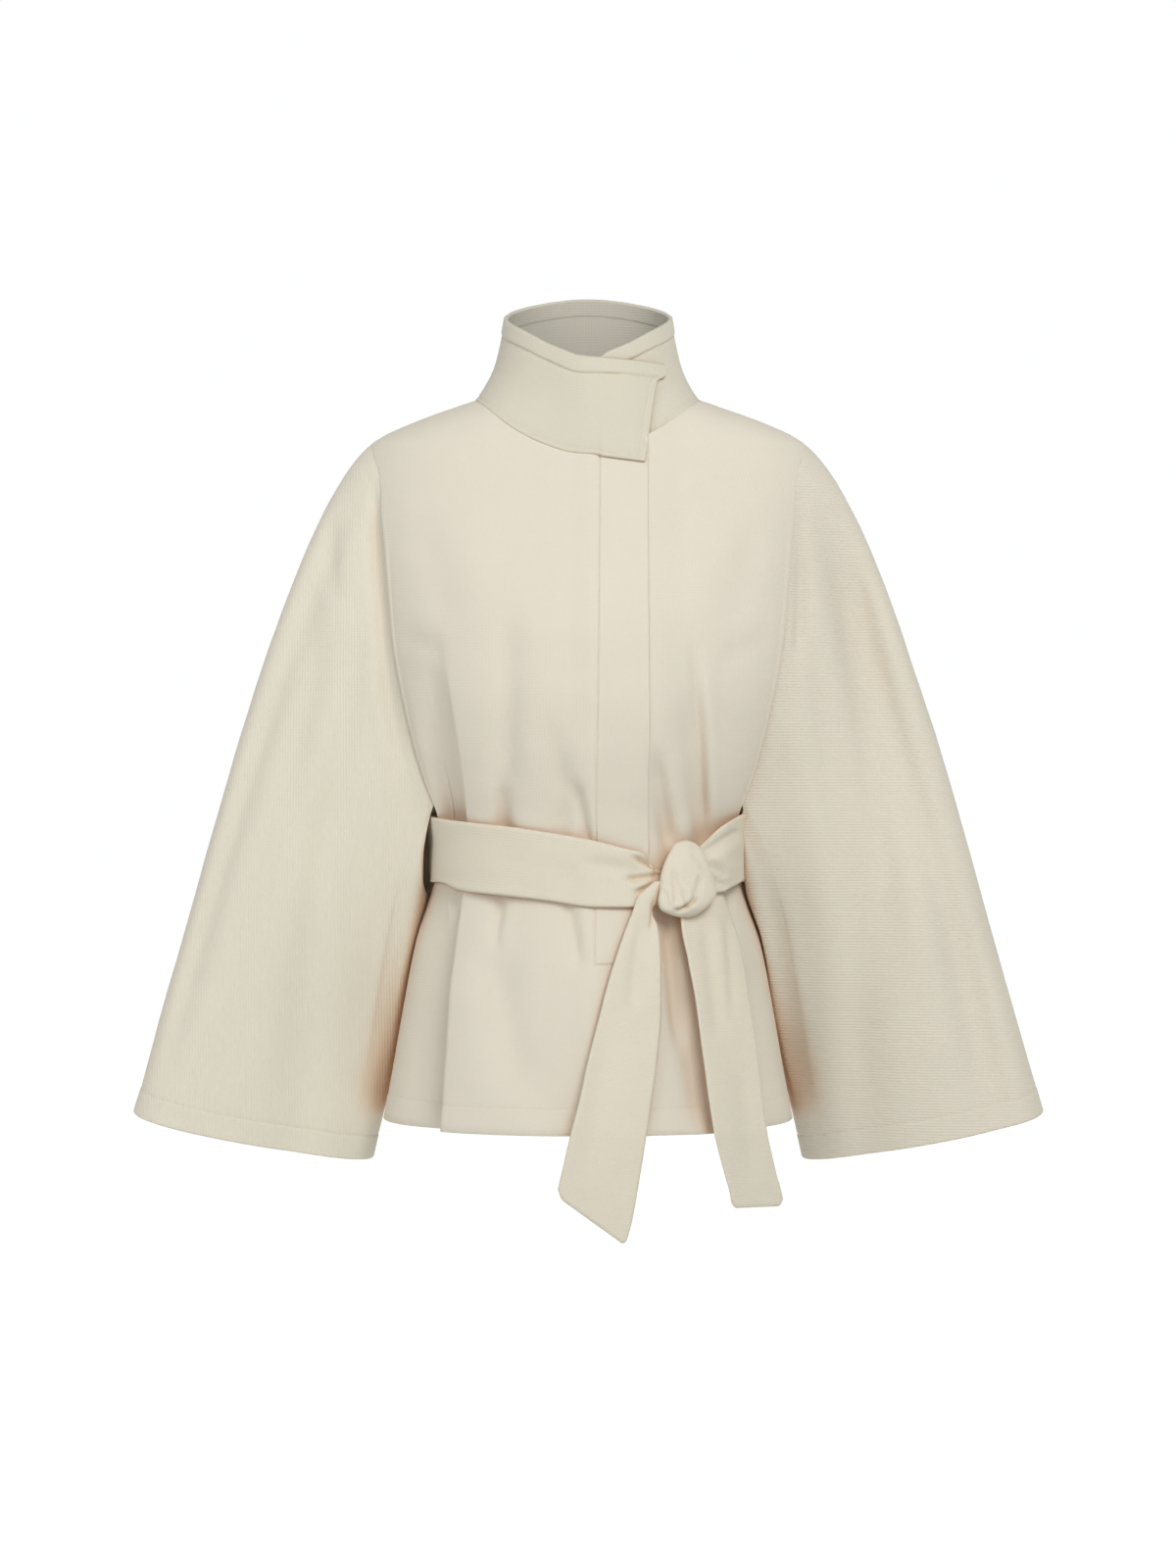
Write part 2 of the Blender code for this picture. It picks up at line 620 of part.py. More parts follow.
COLLAR_WIDTH, COLLAR_FRONT, COLLAR_BACK = 0.0722, 0.0690, 0.0660  # half sizes of its top edge
COLLAR_TOP = Table(
    "bearing height",
    (0, 0.0285),
    (6, 0.0295),
    (17, 0.0345),
    (31, 0.0418),
    (49, 0.0525),
    (90, 0.0707),
    (135, 0.0860),
    (180, 0.0942),
)
# The outer layer's end droops a little past the centre front; its top edge there.
COLLAR_LAP_TOP = Table(
    "bearing height",
    (0, 0.0285),
    (20, 0.0268),
    (45, 0.0252),
    (66, 0.0240),
)
# How the collar draws in from the neckline to its top edge.
COLLAR_FLARE = Table(
    "share drawn_in",
    (0.00, 0.00),
    (0.15, 0.28),
    (0.39, 0.61),
    (0.62, 0.79),
    (1.00, 1.00),
)
OUTER_END_TOP, OUTER_END_BOTTOM = 58.0, 39.0  # bearings of the slanted end that shows
INNER_END = -357.0  # bearing of the hidden end, after a whole turn
COLLAR_SEAM = 0.0011  # the base stands this much above the neckline, which slopes steeply
COLLAR_LAP = 0.0040  # the outer layer stands out this much where it lies over the inner one
UNDER_DROP = 0.0040  # the hidden end's corner lies this much lower
COLLAR_BAND = 0.0135  # the edge-stitched band along the top
COLLAR_BAND_STEP = 0.0008  # half the width over which the band's thickness rises
COLLAR_RELIEF = 0.0007
COLLAR_SHARES = (0.0, 0.14, 0.30, 0.50, 0.70, 0.0, 0.0, 1.0)  # the zeros are the band's lower edge


def neckline(bearing):
    """The neckline at a bearing in degrees from the centre front, seen from above; x is positive."""
    across = np.linspace(0, 1, 121)
    front_height = row_height(0, across, "front")
    front = ring_point(np.radians(90 * across), front_height)
    back_height = row_height(0, across[::-1], "back")
    back = ring_point(np.radians(180 - 90 * across[::-1]), back_height)
    line = np.concatenate([front, back[1:]])
    bearings = np.degrees(np.arctan2(line[:, 0], -line[:, 1]))
    return np.stack([np.interp(bearing, bearings, line[:, k]) for k in range(3)], axis=-1)


def collar_point(turn, share):
    """A point of the collar: turn is a bearing that falls from the outer end round to the inner one."""
    side = np.where(turn > 0, 1.0, np.where(turn > -180, -1.0, 1.0))
    bearing = np.where(turn > -180, np.abs(turn), 360 + turn)
    base = neckline(bearing)
    lapped = ease((turn + 30) / 30)
    base_angle = np.arcsin(base[..., 0] / RINGS.at("half_width", base[..., 2]))
    base_out = (lap_rise(base[..., 0]) + placket_rise(base[..., 0], base[..., 2])) * (turn > 0)
    base_out = base_out + lap_rise(-base[..., 0]) * ((turn <= 0) & (turn > -90))
    base = base + ring_outward(base_angle, base[..., 2]) * base_out[..., None]
    plan = np.radians(bearing)
    depth = np.where(bearing < 90, COLLAR_FRONT, COLLAR_BACK)
    radius = COLLAR_WIDTH * depth / np.hypot(depth * np.sin(plan), COLLAR_WIDTH * np.cos(plan))
    full_height = COLLAR_TOP.at("height", bearing)
    top_height = np.where(turn > 0, COLLAR_LAP_TOP.at("height", bearing), full_height)
    top_height = top_height - UNDER_DROP * ease((-345 - turn) / 12)
    outward = np.stack([np.sin(plan), -np.cos(plan)], axis=-1)
    low_height = base[..., 2] + COLLAR_SEAM
    height = low_height + (top_height - low_height) * share
    drawn_in = COLLAR_FLARE.at("drawn_in", (height - low_height) / (full_height - low_height))[..., None]
    high = outward * (radius + COLLAR_LAP * lapped)[..., None]
    level = base[..., :2] + (high - base[..., :2]) * drawn_in
    return np.concatenate([level * np.stack([side, side**2], axis=-1), height[..., None]], axis=-1)


def collar_shares(turn):
    """Shares of the height at one place of the collar, with the band's lower edge at its own width."""
    bearing = abs(turn) if turn > -180 else 360 + turn
    rise = COLLAR_TOP.at("height", bearing) - neckline(bearing)[2]
    shares = np.array(COLLAR_SHARES)
    shares[-3] = 1 - (COLLAR_BAND + COLLAR_BAND_STEP) / rise
    shares[-2] = 1 - (COLLAR_BAND - COLLAR_BAND_STEP) / rise
    return shares


def make_collar():
    turns = np.concatenate([np.linspace(OUTER_END_TOP, -24, 13), np.linspace(-24, INNER_END, 41)[1:]])
    share = np.array([collar_shares(turn) for turn in turns]).T
    turn = np.broadcast_to(turns, share.shape)
    slant = (OUTER_END_TOP - OUTER_END_BOTTOM) * (1 - share)
    from_end = (OUTER_END_TOP - turn) / (OUTER_END_TOP + 24)
    turn = turn - slant * np.clip(1 - from_end, 0, 1)
    outer = collar_point(turn, share)
    normals = grid_normals(outer, False)
    inner = outer - COLLAR_CLOTH * normals
    outer[-2:] += COLLAR_RELIEF * normals[-2:]
    return add_wall("collar", COLLAR_COLOUR, outer, inner)


# Belt -------------------------------------------------------------------------------------------

# The belt's middle line round the waist, by angle from the centre front.
BELT_LINE = Table(
    "angle height",
    (-180, -0.3900),
    (-90, -0.3890),
    (-60, -0.3910),
    (-30, -0.3985),
    (-14, -0.4025),
    (3, -0.4080),
    (20, -0.4130),
    (40, -0.4135),
    (54, -0.4000),
    (70, -0.3900),
    (90, -0.3890),
    (180, -0.3900),
)
BELT_CROWN = 0.0008


def belt_point(angle, share):
    """A point of the belt's outer side; share runs from -1 at its lower edge to 1 at its upper one."""
    height = BELT_LINE.at("height", np.degrees(angle)) + share * BELT_WIDTH / 2
    x = RINGS.at("half_width", height) * np.sin(angle)
    lap = lap_rise(x) * ease((LAP_EDGE + 0.012 - x) / 0.010) * (np.cos(angle) > 0)
    placket = PLACKET_RELIEF * (np.cos(angle) > 0)
    out = BELT_AIR + BELT_CLOTH + lap + placket + BELT_CROWN * (1 - share**2)
    return ring_point(angle, height) + ring_outward(angle, height) * out[..., None]


def make_belt_band():
    angles = np.linspace(-math.pi, math.pi, 73)[:-1]
    angle, share = np.meshgrid(angles, np.linspace(-1, 1, 5), indexing="ij")
    outer = belt_point(angle, share)
    inner = outer - ring_outward(angle, outer[..., 2]) * BELT_CLOTH
    return add_wall("belt_band", BELT_COLOUR, outer, inner, wraps=True)


KNOT_ANGLE = math.radians(37.0)
KNOT_HEIGHT = -0.4140
KNOT_CLEAR = 0.0020  # between the knot and the band it lies on
KNOT_HALF = (0.0310, 0.0325, 0.0175)  # along the belt, up, out
KNOT_CREASES = (
    # along and up at one end, along and up at the other, width, depth; shares of the half sizes
    (-0.95, -0.50, 0.05, -0.62, 0.16, 0.0045),
    (-0.10, 0.95, -0.38, -0.10, 0.13, 0.0035),
    (0.42, 0.80, 0.20, 0.05, 0.15, 0.0030),
    (0.95, -0.10, 0.35, -0.55, 0.15, 0.0035),
)


def knot_frame():
    """The middle of the knot, and its directions along the belt, up and out."""
    out = ring_outward(np.array(KNOT_ANGLE), KNOT_HEIGHT)
    along = np.array([-out[1], out[0], 0.0])
    face = belt_point(np.array(KNOT_ANGLE), np.array(0.0))
    middle = face + out * (KNOT_HALF[2] + KNOT_CLEAR)
    middle[2] = KNOT_HEIGHT
    return middle, along, np.array([0.0, 0.0, 1.0]), out


def make_belt_knot():
    """Two turns of the belt pressed into a rounded lump, flat against the band behind it."""
    middle, along, up, out = knot_frame()
    around, rings = 28, 14
    points = []
    for i in range(1, rings):
        lean = math.pi * i / rings
        for j in range(around):
            turn = 2 * math.pi * j / around
            a = rounded(math.sin(lean), 0.85) * rounded(math.cos(turn), 0.85)
            b = rounded(math.sin(lean), 0.85) * rounded(math.sin(turn), 0.85)
            c = rounded(math.cos(lean), 0.75)
            points.append(knot_surface(a, b, c))
    points = [knot_surface(0, 0, 1)] + points + [knot_surface(0, 0, -1)]
    local = np.array(points)
    world = middle + local[:, :1] * along + local[:, 1:2] * up + local[:, 2:] * out
    last = len(points) - 1
    faces = [(0, 1 + j, 1 + (j + 1) % around) for j in range(around)]
    for i in range(rings - 2):
        first = 1 + i * around
        for j in range(around):
            k = (j + 1) % around
            faces.append((first + j, first + around + j, first + around + k, first + k))
    first = last - around
    faces += [(first + j, last, first + (j + 1) % around) for j in range(around)]
    return add_object("belt_knot", BELT_COLOUR, world, faces)


def rounded(value, power):
    return math.copysign(abs(value) ** power, value)


def knot_surface(a, b, c):
    """A point of the knot from shares of its half sizes: squarer at the back, creased at the front."""
    lean = 0.10 * b
    waisted = 1 - 0.10 * (1 - abs(b)) * (a > 0)
    x = KNOT_HALF[0] * (a * waisted + lean)
    y = KNOT_HALF[1] * (b - 0.10 * a * (1 - b * b))
    z = KNOT_HALF[2] * c
    for a0, b0, a1, b1, width, depth in KNOT_CREASES:
        run = np.array([a1 - a0, b1 - b0])
        t = np.clip(np.dot([a - a0, b - b0], run) / np.dot(run, run), 0, 1)
        off = math.hypot(a - a0 - t * run[0], b - b0 - t * run[1])
        z -= depth * max(c, 0) * math.exp(-((off / width) ** 2))
    return (x, y, z)


# The tails' middle lines: height, x, width across, turn of the strip from facing front, and how far
# it stands off the skirt.
RIGHT_TAIL = Table(
    "height middle width turn off",
    (-0.4432, 0.0620, 0.026, 22, 0.0022),
    (-0.4620, 0.0510, 0.032, 18, 0.0030),
    (-0.485, 0.0435, 0.038, 14, 0.0030),
    (-0.521, 0.0385, 0.045, 12, 0.0030),
    (-0.600, 0.0250, 0.056, 8, 0.0030),
    (-0.664, 0.0120, 0.058, 4, 0.0030),
    (-0.696, 0.0040, 0.058, 3, 0.0030),
)
LEFT_TAIL = Table(
    "height middle width turn off",
    (-0.4445, 0.0960, 0.032, 42, 0.0020),
    (-0.4660, 0.1035, 0.042, 40, 0.0035),
    (-0.490, 0.1100, 0.049, 38, 0.0045),
    (-0.521, 0.1150, 0.054, 36, 0.0050),
    (-0.600, 0.1240, 0.057, 38, 0.0060),
    (-0.689, 0.1430, 0.057, 36, 0.0080),
)
RIGHT_TAIL_SLANT = 0.021  # the end is cut aslant: its two corners lie this far above and below
LEFT_TAIL_SLANT = 0.001


def make_tail(name, line, slant):
    """A strip of doubled cloth that hangs from the knot over the skirt and past the hem."""
    top, bottom = line.keys[-1], line.keys[0]
    row, share = np.meshgrid(np.linspace(0, 1, 19), np.linspace(-1, 1, 5), indexing="ij")
    height = top + (bottom - top) * row
    turn = np.radians(line.at("turn", height))
    middle_x = line.at("middle", height)
    half = line.at("width", height) / 2
    reach_x = middle_x + share * half * np.cos(turn)
    on_figure = np.clip(height, -0.626, 0)
    width = RINGS.at("half_width", on_figure)
    skirt = -RINGS.at("front_depth", on_figure) * np.sqrt(1 - np.clip(middle_x / width, -0.95, 0.95) ** 2)
    front = skirt - lap_rise(middle_x) - PLACKET_RELIEF - line.at("off", height) - BELT_CLOTH
    y = front + share * half * np.sin(turn)
    z = height - slant * share * ease((row - 0.55) / 0.45)
    outer = np.stack([reach_x, y, z], axis=-1)
    normals = grid_normals(outer, False)
    return add_wall(name, BELT_COLOUR, outer, outer - BELT_CLOTH * normals)


def clear_scene():
    for thing in list(bpy.data.objects):
        bpy.data.objects.remove(thing, do_unlink=True)


clear_scene()
make_front("front_right", -1, RIGHT_EDGE_STRIP)
make_front("front_left", 1, LEFT_EDGE_STRIP)
make_back()
make_sleeve("sleeve_right", -1)
make_sleeve("sleeve_left", 1)
make_collar()
make_belt_band()
make_belt_knot()
make_tail("belt_tail_right", RIGHT_TAIL, RIGHT_TAIL_SLANT)
make_tail("belt_tail_left", LEFT_TAIL, LEFT_TAIL_SLANT)
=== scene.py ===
import itertools
import math

import bpy
import numpy as np
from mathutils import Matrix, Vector


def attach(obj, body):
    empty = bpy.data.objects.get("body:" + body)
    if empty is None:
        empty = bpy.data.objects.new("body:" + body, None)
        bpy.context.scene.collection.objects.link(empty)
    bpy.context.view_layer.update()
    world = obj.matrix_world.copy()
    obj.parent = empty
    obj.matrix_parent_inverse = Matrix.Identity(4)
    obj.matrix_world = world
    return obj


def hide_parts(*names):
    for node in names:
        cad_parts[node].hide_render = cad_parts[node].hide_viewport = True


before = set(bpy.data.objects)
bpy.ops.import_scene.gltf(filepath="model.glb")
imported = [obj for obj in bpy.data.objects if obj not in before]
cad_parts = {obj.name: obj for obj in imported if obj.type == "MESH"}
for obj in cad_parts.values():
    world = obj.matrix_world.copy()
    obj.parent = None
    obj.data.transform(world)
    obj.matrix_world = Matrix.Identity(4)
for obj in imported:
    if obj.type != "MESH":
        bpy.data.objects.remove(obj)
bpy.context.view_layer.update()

# Studio: a pale floor under a white room, one wide soft light above the front and a weaker one at the
# side. The camera stands level with the waist, straight in front, as a catalogue picture is taken.
CAMERA_AWAY = 3.2
CAMERA_HEIGHT = -0.333
LENS_MM = 84.7
FLOOR_HEIGHT = -1.42
FLOOR_SIZE = 40.0
ROOM_LIGHT = 1.0
DOME_LIGHT = 0.45  # overhead, above the white band that stands behind the coat
FRONT_LIGHT = 0.55  # the share of the room's light that is left on the camera's side
ROOM_TINT = (1.0, 1.005, 1.01)
FLOOR_GLOW = 0.65  # only behind the coat; the floor before it is plain
FLOOR_HEX = "#F7F6F3"
LIGHTS = (
    # name, place, size, power, colour
    ("light_above", (1.1, -2.6, 1.7), 1.5, 84.0, "#FFFEFC"),
    ("light_side", (-2.2, -1.9, 0.5), 1.8, 26.0, "#FFFEFC"),
)


def linear(hex_colour):
    """An sRGB hex colour as the linear values that a shader takes."""
    parts = [int(hex_colour[k : k + 2], 16) / 255 for k in (1, 3, 5)]
    return [p / 12.92 if p <= 0.04045 else ((p + 0.055) / 1.055) ** 2.4 for p in parts]


def add_node(tree, kind, place=(0, 0), settings=(), inputs=(), **links):
    """One node with its settings and values; each link names an input and the output that feeds it."""
    node = tree.nodes.new(kind)
    node.location = place
    for name, value in dict(settings).items():
        setattr(node, name, value)
    for name, value in dict(inputs).items():
        node.inputs[name].default_value = value
    for name, source in links.items():
        name = int(name[1:]) if name[1:].isdigit() else name.replace("_", " ")
        tree.links.new(source, node.inputs[name])
    return node


studio = bpy.context.scene
studio.view_settings.view_transform = "Standard"
room = bpy.data.worlds.new("white_room")
room.use_nodes = True
room.node_tree.nodes["Background"].inputs["Color"].default_value = (*ROOM_TINT, 1.0)
direction = add_node(room.node_tree, "ShaderNodeTexCoord", (-900, 0))
upwards = add_node(
    room.node_tree, "ShaderNodeSeparateXYZ", (-700, 0), Vector=direction.outputs["Generated"]
)
brightness = add_node(
    room.node_tree, "ShaderNodeMapRange", (-500, 0), {"interpolation_type": "SMOOTHSTEP"},
    {1: 0.32, 2: 0.60, 3: ROOM_LIGHT, 4: DOME_LIGHT}, Value=upwards.outputs["Z"]
)
behind = add_node(
    room.node_tree, "ShaderNodeMapRange", (-500, -300), {"interpolation_type": "SMOOTHSTEP"},
    {1: -0.3, 2: 0.6, 3: FRONT_LIGHT, 4: 1.0}, Value=upwards.outputs["Y"]
)
strength = add_node(
    room.node_tree, "ShaderNodeMath", (-300, 0), {"operation": "MULTIPLY"}, _0=brightness.outputs[0],
    _1=behind.outputs[0]
)
room.node_tree.links.new(strength.outputs[0], room.node_tree.nodes["Background"].inputs["Strength"])
studio.world = room

floor_mesh = bpy.data.meshes.new("floor")
half = FLOOR_SIZE / 2
corners = [(x, y, FLOOR_HEIGHT) for x, y in ((-half, -half), (half, -half), (half, half), (-half, half))]
floor_mesh.from_pydata(corners, [], [(0, 1, 2, 3)])
floor = bpy.data.objects.new("floor", floor_mesh)
studio.collection.objects.link(floor)
floor_paint = bpy.data.materials.new("pale_floor_paint")
floor_paint.use_nodes = True
floor_surface = floor_paint.node_tree.nodes["Principled BSDF"]
floor_surface.inputs["Base Color"].default_value = (*linear(FLOOR_HEX), 1.0)
floor_surface.inputs["Roughness"].default_value = 0.9
floor_surface.inputs["Emission Color"].default_value = (1.0, 0.99, 0.96, 1.0)
floor_place = add_node(floor_paint.node_tree, "ShaderNodeTexCoord", (-900, -200))
floor_ways = add_node(
    floor_paint.node_tree, "ShaderNodeSeparateXYZ", (-700, -200), Vector=floor_place.outputs["Object"]
)
glow = add_node(
    floor_paint.node_tree, "ShaderNodeMapRange", (-500, -200), {"interpolation_type": "SMOOTHSTEP"},
    {1: 0.0, 2: 0.9, 3: 0.0, 4: FLOOR_GLOW}, Value=floor_ways.outputs["Y"]
)
floor_paint.node_tree.links.new(glow.outputs[0], floor_surface.inputs["Emission Strength"])
floor_mesh.materials.append(floor_paint)

for name, place, size, power, colour in LIGHTS:
    lamp = bpy.data.lights.new(name, "AREA")
    lamp.shape = "SQUARE"
    lamp.size = size
    lamp.energy = power
    lamp.color = linear(colour)
    stand = bpy.data.objects.new(name, lamp)
    stand.location = place
    towards = Vector((0.0, 0.0, CAMERA_HEIGHT)) - Vector(place)
    stand.rotation_euler = towards.to_track_quat("-Z", "Y").to_euler()
    studio.collection.objects.link(stand)

lens = bpy.data.cameras.new("camera")
lens.lens = LENS_MM
lens.sensor_width = 36.0
camera = bpy.data.objects.new("camera", lens)
camera.location = (0.0, -CAMERA_AWAY, CAMERA_HEIGHT)
camera.rotation_euler = (math.pi / 2, 0.0, 0.0)
studio.collection.objects.link(camera)
studio.camera = camera


# Fronts: two panels of cream rib-woven cotton coating, cut from neckline to hem with a knife pleat
# each. The right one laps over the left and hides the buttons under a fly that is stitched down its
# inner side; the neckline, armhole and side edges are seamed, the hem is turned up twice and stitched.
MM = 0.001
CLOTH = 0.0018
SEAM_GAP = 0.0006
FRONT_HEX = "#CBC5B7"
LAP_EDGE = 0.0500
LAP_START = -0.016
LAP_FULL = 0.004
LAP_CLEARANCE = 0.0008
LAP_LIFT = 0.0006  # the underlap swells this much under the right front
LAP_SWELL = 0.0019  # and this much more beside its edge, so that hardly a step shows
SWELL_STARTS, SWELL_ENDS = (LAP_EDGE - 0.0006, 0.0007), (LAP_EDGE + 0.002, 0.030)  # from, and over
UNDERLAP_EDGE = 0.0080
PLACKET_INNER = 0.0082
PLACKET_STEP = 0.0030
PLACKET_END = -0.4845
PLACKET_RELIEF = 0.0007
FLY_DIP, FLY_END_DIP = (0.0008, 0.0009), 0.0007
LAP_EDGE_PROUD = 0.0003
SETTLING_STEPS = 6
EDGE_ROUND = 0.42  # an edge bulges by this share of the cloth's thickness
FLY_SHIFT_REACH = 0.014  # columns this near the fly lean with it
FLY_START, FLY_TOP, FLY_FOOT = -0.051, 0.0099, 0.0057  # where the fly's stitching starts, and its x
HEM_STITCH = 0.022  # the hem's stitching lies this far above the edge
HEM_PRESS = 0.0085  # and the inner fold shows faintly this far above it
HEM_FOLD_DIP = (0.00015, 0.002)
HEM_RELIEF = 0.0003
STITCH_DIP, STITCH_DIP_WIDTH = 0.00035, 0.0012  # how far stitches pull the cloth in
SEAM_RIDGE = 0.0006  # the panel's pressed edge stands this proud beside the armhole seam
RIDGE_TOP = (-0.09, -0.05)  # it begins at this height and is full 50 mm lower
FRONT_RIDGE = (2.86, 0.08)  # from this column on, and over this many
CREASE_SIDE, CREASE_TOP = 0.35, 2.5  # columns and rows in which creases fade towards the seams
MEAN_WIDTH, MEAN_DEPTH = 0.165, 0.105  # half sizes of the figure, for the weave alone
RIB_PITCH = 0.0024  # the real cloth has a rib every 1.6 mm; drawn a little coarser so that it shows
RIB_WAVER = 0.0012  # each rib wanders by up to this much
RIB_RELIEF = 0.00022
SLUB_SCALE = 260.0  # uneven threads a few millimetres long
CLOUD_SCALE = 9.0  # broad, faint changes of tone
PAINTED_SHADE_REACH = 0.045  # painted shade: cream cloth this close to other cloth is drawn darker and warmer, in place of its shade and warm reflected light
# the colour that the painted shade multiplies in where cloth lies closest
PAINTED_SHADE_TINT = (1.0, 0.68, 0.48)
FRONT_ROUGH = ((0.00055, 0.055, 3), (0.00016, 0.017, 4))  # depth, size and seed
FRONT_CREASES = (
    # in mm: x and height where it starts, bends and ends; width, depth, the ridge beside it
    (-72.5, -325, -72.5, -356, -71, -376, 5.2, 4.6, 1),
    (-12, -325, -6, -356, -1, -386, 5.8, 5, -1.8),
    (55.5, -295, 61, -345, 70, -390, 7.5, 6, 1.8),
    (86.5, -208, 95.5, -275, 98.5, -376, 4.5, 3.4, 1.8),
    (-134, -220, -130, -290, -112, -374, 9, 3.6, -1.2),
    (-70, -170, -64, -230, -74, -330, 12, 3, 1.4),
    (-33, -270, -25, -330, -18, -376, 10, 3, 1.6),
    (80, -250, 86, -310, 90, -360, 12, 2.6, -1.2),
    (25, -210, 30, -270, 26, -350, 12, 1, 0.8),
    (-164.2, -201.9, -143.6, -215, -119, -223, 8, 1.6, 0.8),
    (160.1, -201.9, 139.5, -216, 113, -229, 8, 1.6, -0.8),
    (-150, -100, -125, -150, -118, -200, 14, 1.6, 1),
    (150, -100, 130, -150, 121, -210, 14, 1.6, -1),
    (-73, -422, -74.5, -438, -80, -470, 4.2, 3.4, 1.2),
    (-18, -428, -15, -448, -8, -485, 6, 3.4, 1.4),
    (-86, -460, -70, -520, -56, -590, 17, 6, -2.4),
    (-35, -470, -26, -540, -40, -615, 18, 2.6, 1.4),
    (64, -438, 70, -480, 76, -550, 6, 5, 2.2),
    (76, -480, 86, -540, 96, -620, 11, 5, 2),
    (138, -480, 144, -530, 150, -600, 9, 3, -1.4),
)


class Table:
    """Rows of sizes under named columns, read between rows along a smooth curve with no overshoot.
    A column whose name ends in _mm is given in millimetres and read in metres, without the ending."""

    def __init__(self, columns, *rows):
        names = columns.split()
        ordered = np.array(sorted(rows), float) * [MM if name.endswith("_mm") else 1.0 for name in names]
        self.keys = ordered[:, 0]
        self.values = dict(zip([name.removesuffix("_mm") for name in names], ordered.T))
        self.slopes = {name: self.slope(column) for name, column in self.values.items()}

    def slope(self, column):
        steps = np.diff(self.keys)
        rise = np.diff(column) / steps
        slope = np.zeros_like(column)
        slope[0] = rise[0]
        slope[-1] = rise[-1]
        before, after = rise[:-1], rise[1:]
        same_way = before * after > 0
        near, far = 2 * steps[1:] + steps[:-1], steps[1:] + 2 * steps[:-1]
        mean = (near + far) / (near / np.where(same_way, before, 1) + far / np.where(same_way, after, 1))
        slope[1:-1] = np.where(same_way, mean, 0)
        return slope

    def at(self, name, key):
        key = np.clip(key, self.keys[0], self.keys[-1])
        i = np.clip(np.searchsorted(self.keys, key) - 1, 0, len(self.keys) - 2)
        step = self.keys[i + 1] - self.keys[i]
        t = (key - self.keys[i]) / step
        low, high = self.values[name][i], self.values[name][i + 1]
        rise_low, rise_high = self.slopes[name][i] * step, self.slopes[name][i + 1] * step
        curve = low + t * rise_low + t * t * (3 * (high - low) - 2 * rise_low - rise_high)
        return curve + t**3 * (rise_low + rise_high - 2 * (high - low))


# Rings round the figure at each height, outside of the cloth, from the neck down to the hem.
RINGS = Table(
    "height_mm half_width_mm front_depth_mm back_depth_mm",
    (14, 84, 64, 60),
    (2, 91.5, 65, 64),
    (-6, 112, 66.5, 68),
    (-14.5, 136.5, 68, 72),
    (-23, 158.5, 70, 76),
    (-31.5, 177, 72, 79.5),
    (-40, 189, 74.5, 83),
    (-60, 197, 80, 89),
    (-90, 198, 91, 96),
    (-130, 194, 105, 101),
    (-170, 190, 116, 103.5),
    (-210, 186, 123, 103),
    (-250, 178, 124, 100),
    (-299, 163, 117, 94),
    (-335, 149, 107, 89),
    (-363, 137, 99, 85.5),
    (-388, 132, 96, 84),
    (-412, 132, 96, 84.5),
    (-434, 137.5, 98, 86.5),
    (-465, 147.5, 103, 91.5),
    (-529, 160, 113, 101),
    (-581, 169, 120, 109),
    (-630, 178, 126, 116),
)

# Where the front and back panels end at the side, as an angle from the centre line: the shoulder
# seam and the side seam lie at 90 degrees, and the armhole cuts in between them.
SIDE_EDGE = Table(
    "height_mm front back",
    (14, 90, 90),
    (-35, 90, 90),
    (-36, 90, 90),
    (-41, 80, 81),
    (-50, 71.5, 73),
    (-66, 65.5, 68),
    (-90, 63.5, 66),
    (-129, 63.5, 66),
    (-210, 63.5, 66),
    (-259, 64, 66),
    (-299, 66, 67),
    (-335, 68, 69),
    (-354, 68.5, 70),
    (-394, 76, 76),
    (-415, 82, 82),
    (-430, 90, 90),
    (-431, 90, 90),
    (-640, 90, 90),
)

# Rows of the panels from neckline to hem: the height at the side edge, at the centre front and at
# the centre back. The shoulder row meets the shoulder point and the underarm row the armhole's foot.
ROWS = Table(
    "row side_mm front_mm back_mm",
    (0, 0, -52.5, 8),
    (1, -6, -62, -4),
    (2, -12, -71.7, -16),
    (3, -18, -81.4, -28),
    (4, -24, -91.1, -40),
    (5, -30, -101, -52),
    (6, -36, -111, -64),
    (7, -41, -136, -88),
    (8, -50, -156, -108),
    (9, -66, -170, -127),
    (10, -90, -184, -147),
    (11, -125, -201, -171),
    (12, -165, -221, -199),
    (13, -205, -244, -230),
    (14, -245, -267, -261),
    (15, -285, -293, -290),
    (16, -320, -320, -320),
    (17, -345, -345, -345),
    (18, -363, -363, -363),
    (19, -380, -380, -380),
    (20, -400, -400, -400),
    (21, -418, -418, -418),
    (22, -430, -430, -430),
    (23, -456, -456, -456),
    (24, -485, -485, -485),
    (25, -518, -518, -518),
    (26, -554, -555, -554),
    (27, -588, -591, -588),
    (28, -622, -626, -624),
)
SHOULDER_ROW = 6
UNDERARM_ROW = 22
HEM_ROW = 28
LEVEL_ROW = 16  # rows from here down run level but for the hem's curve
NECK_BEND = {"front": 0.289, "back": 0.50}  # how soon a row climbs from the centre to the shoulder

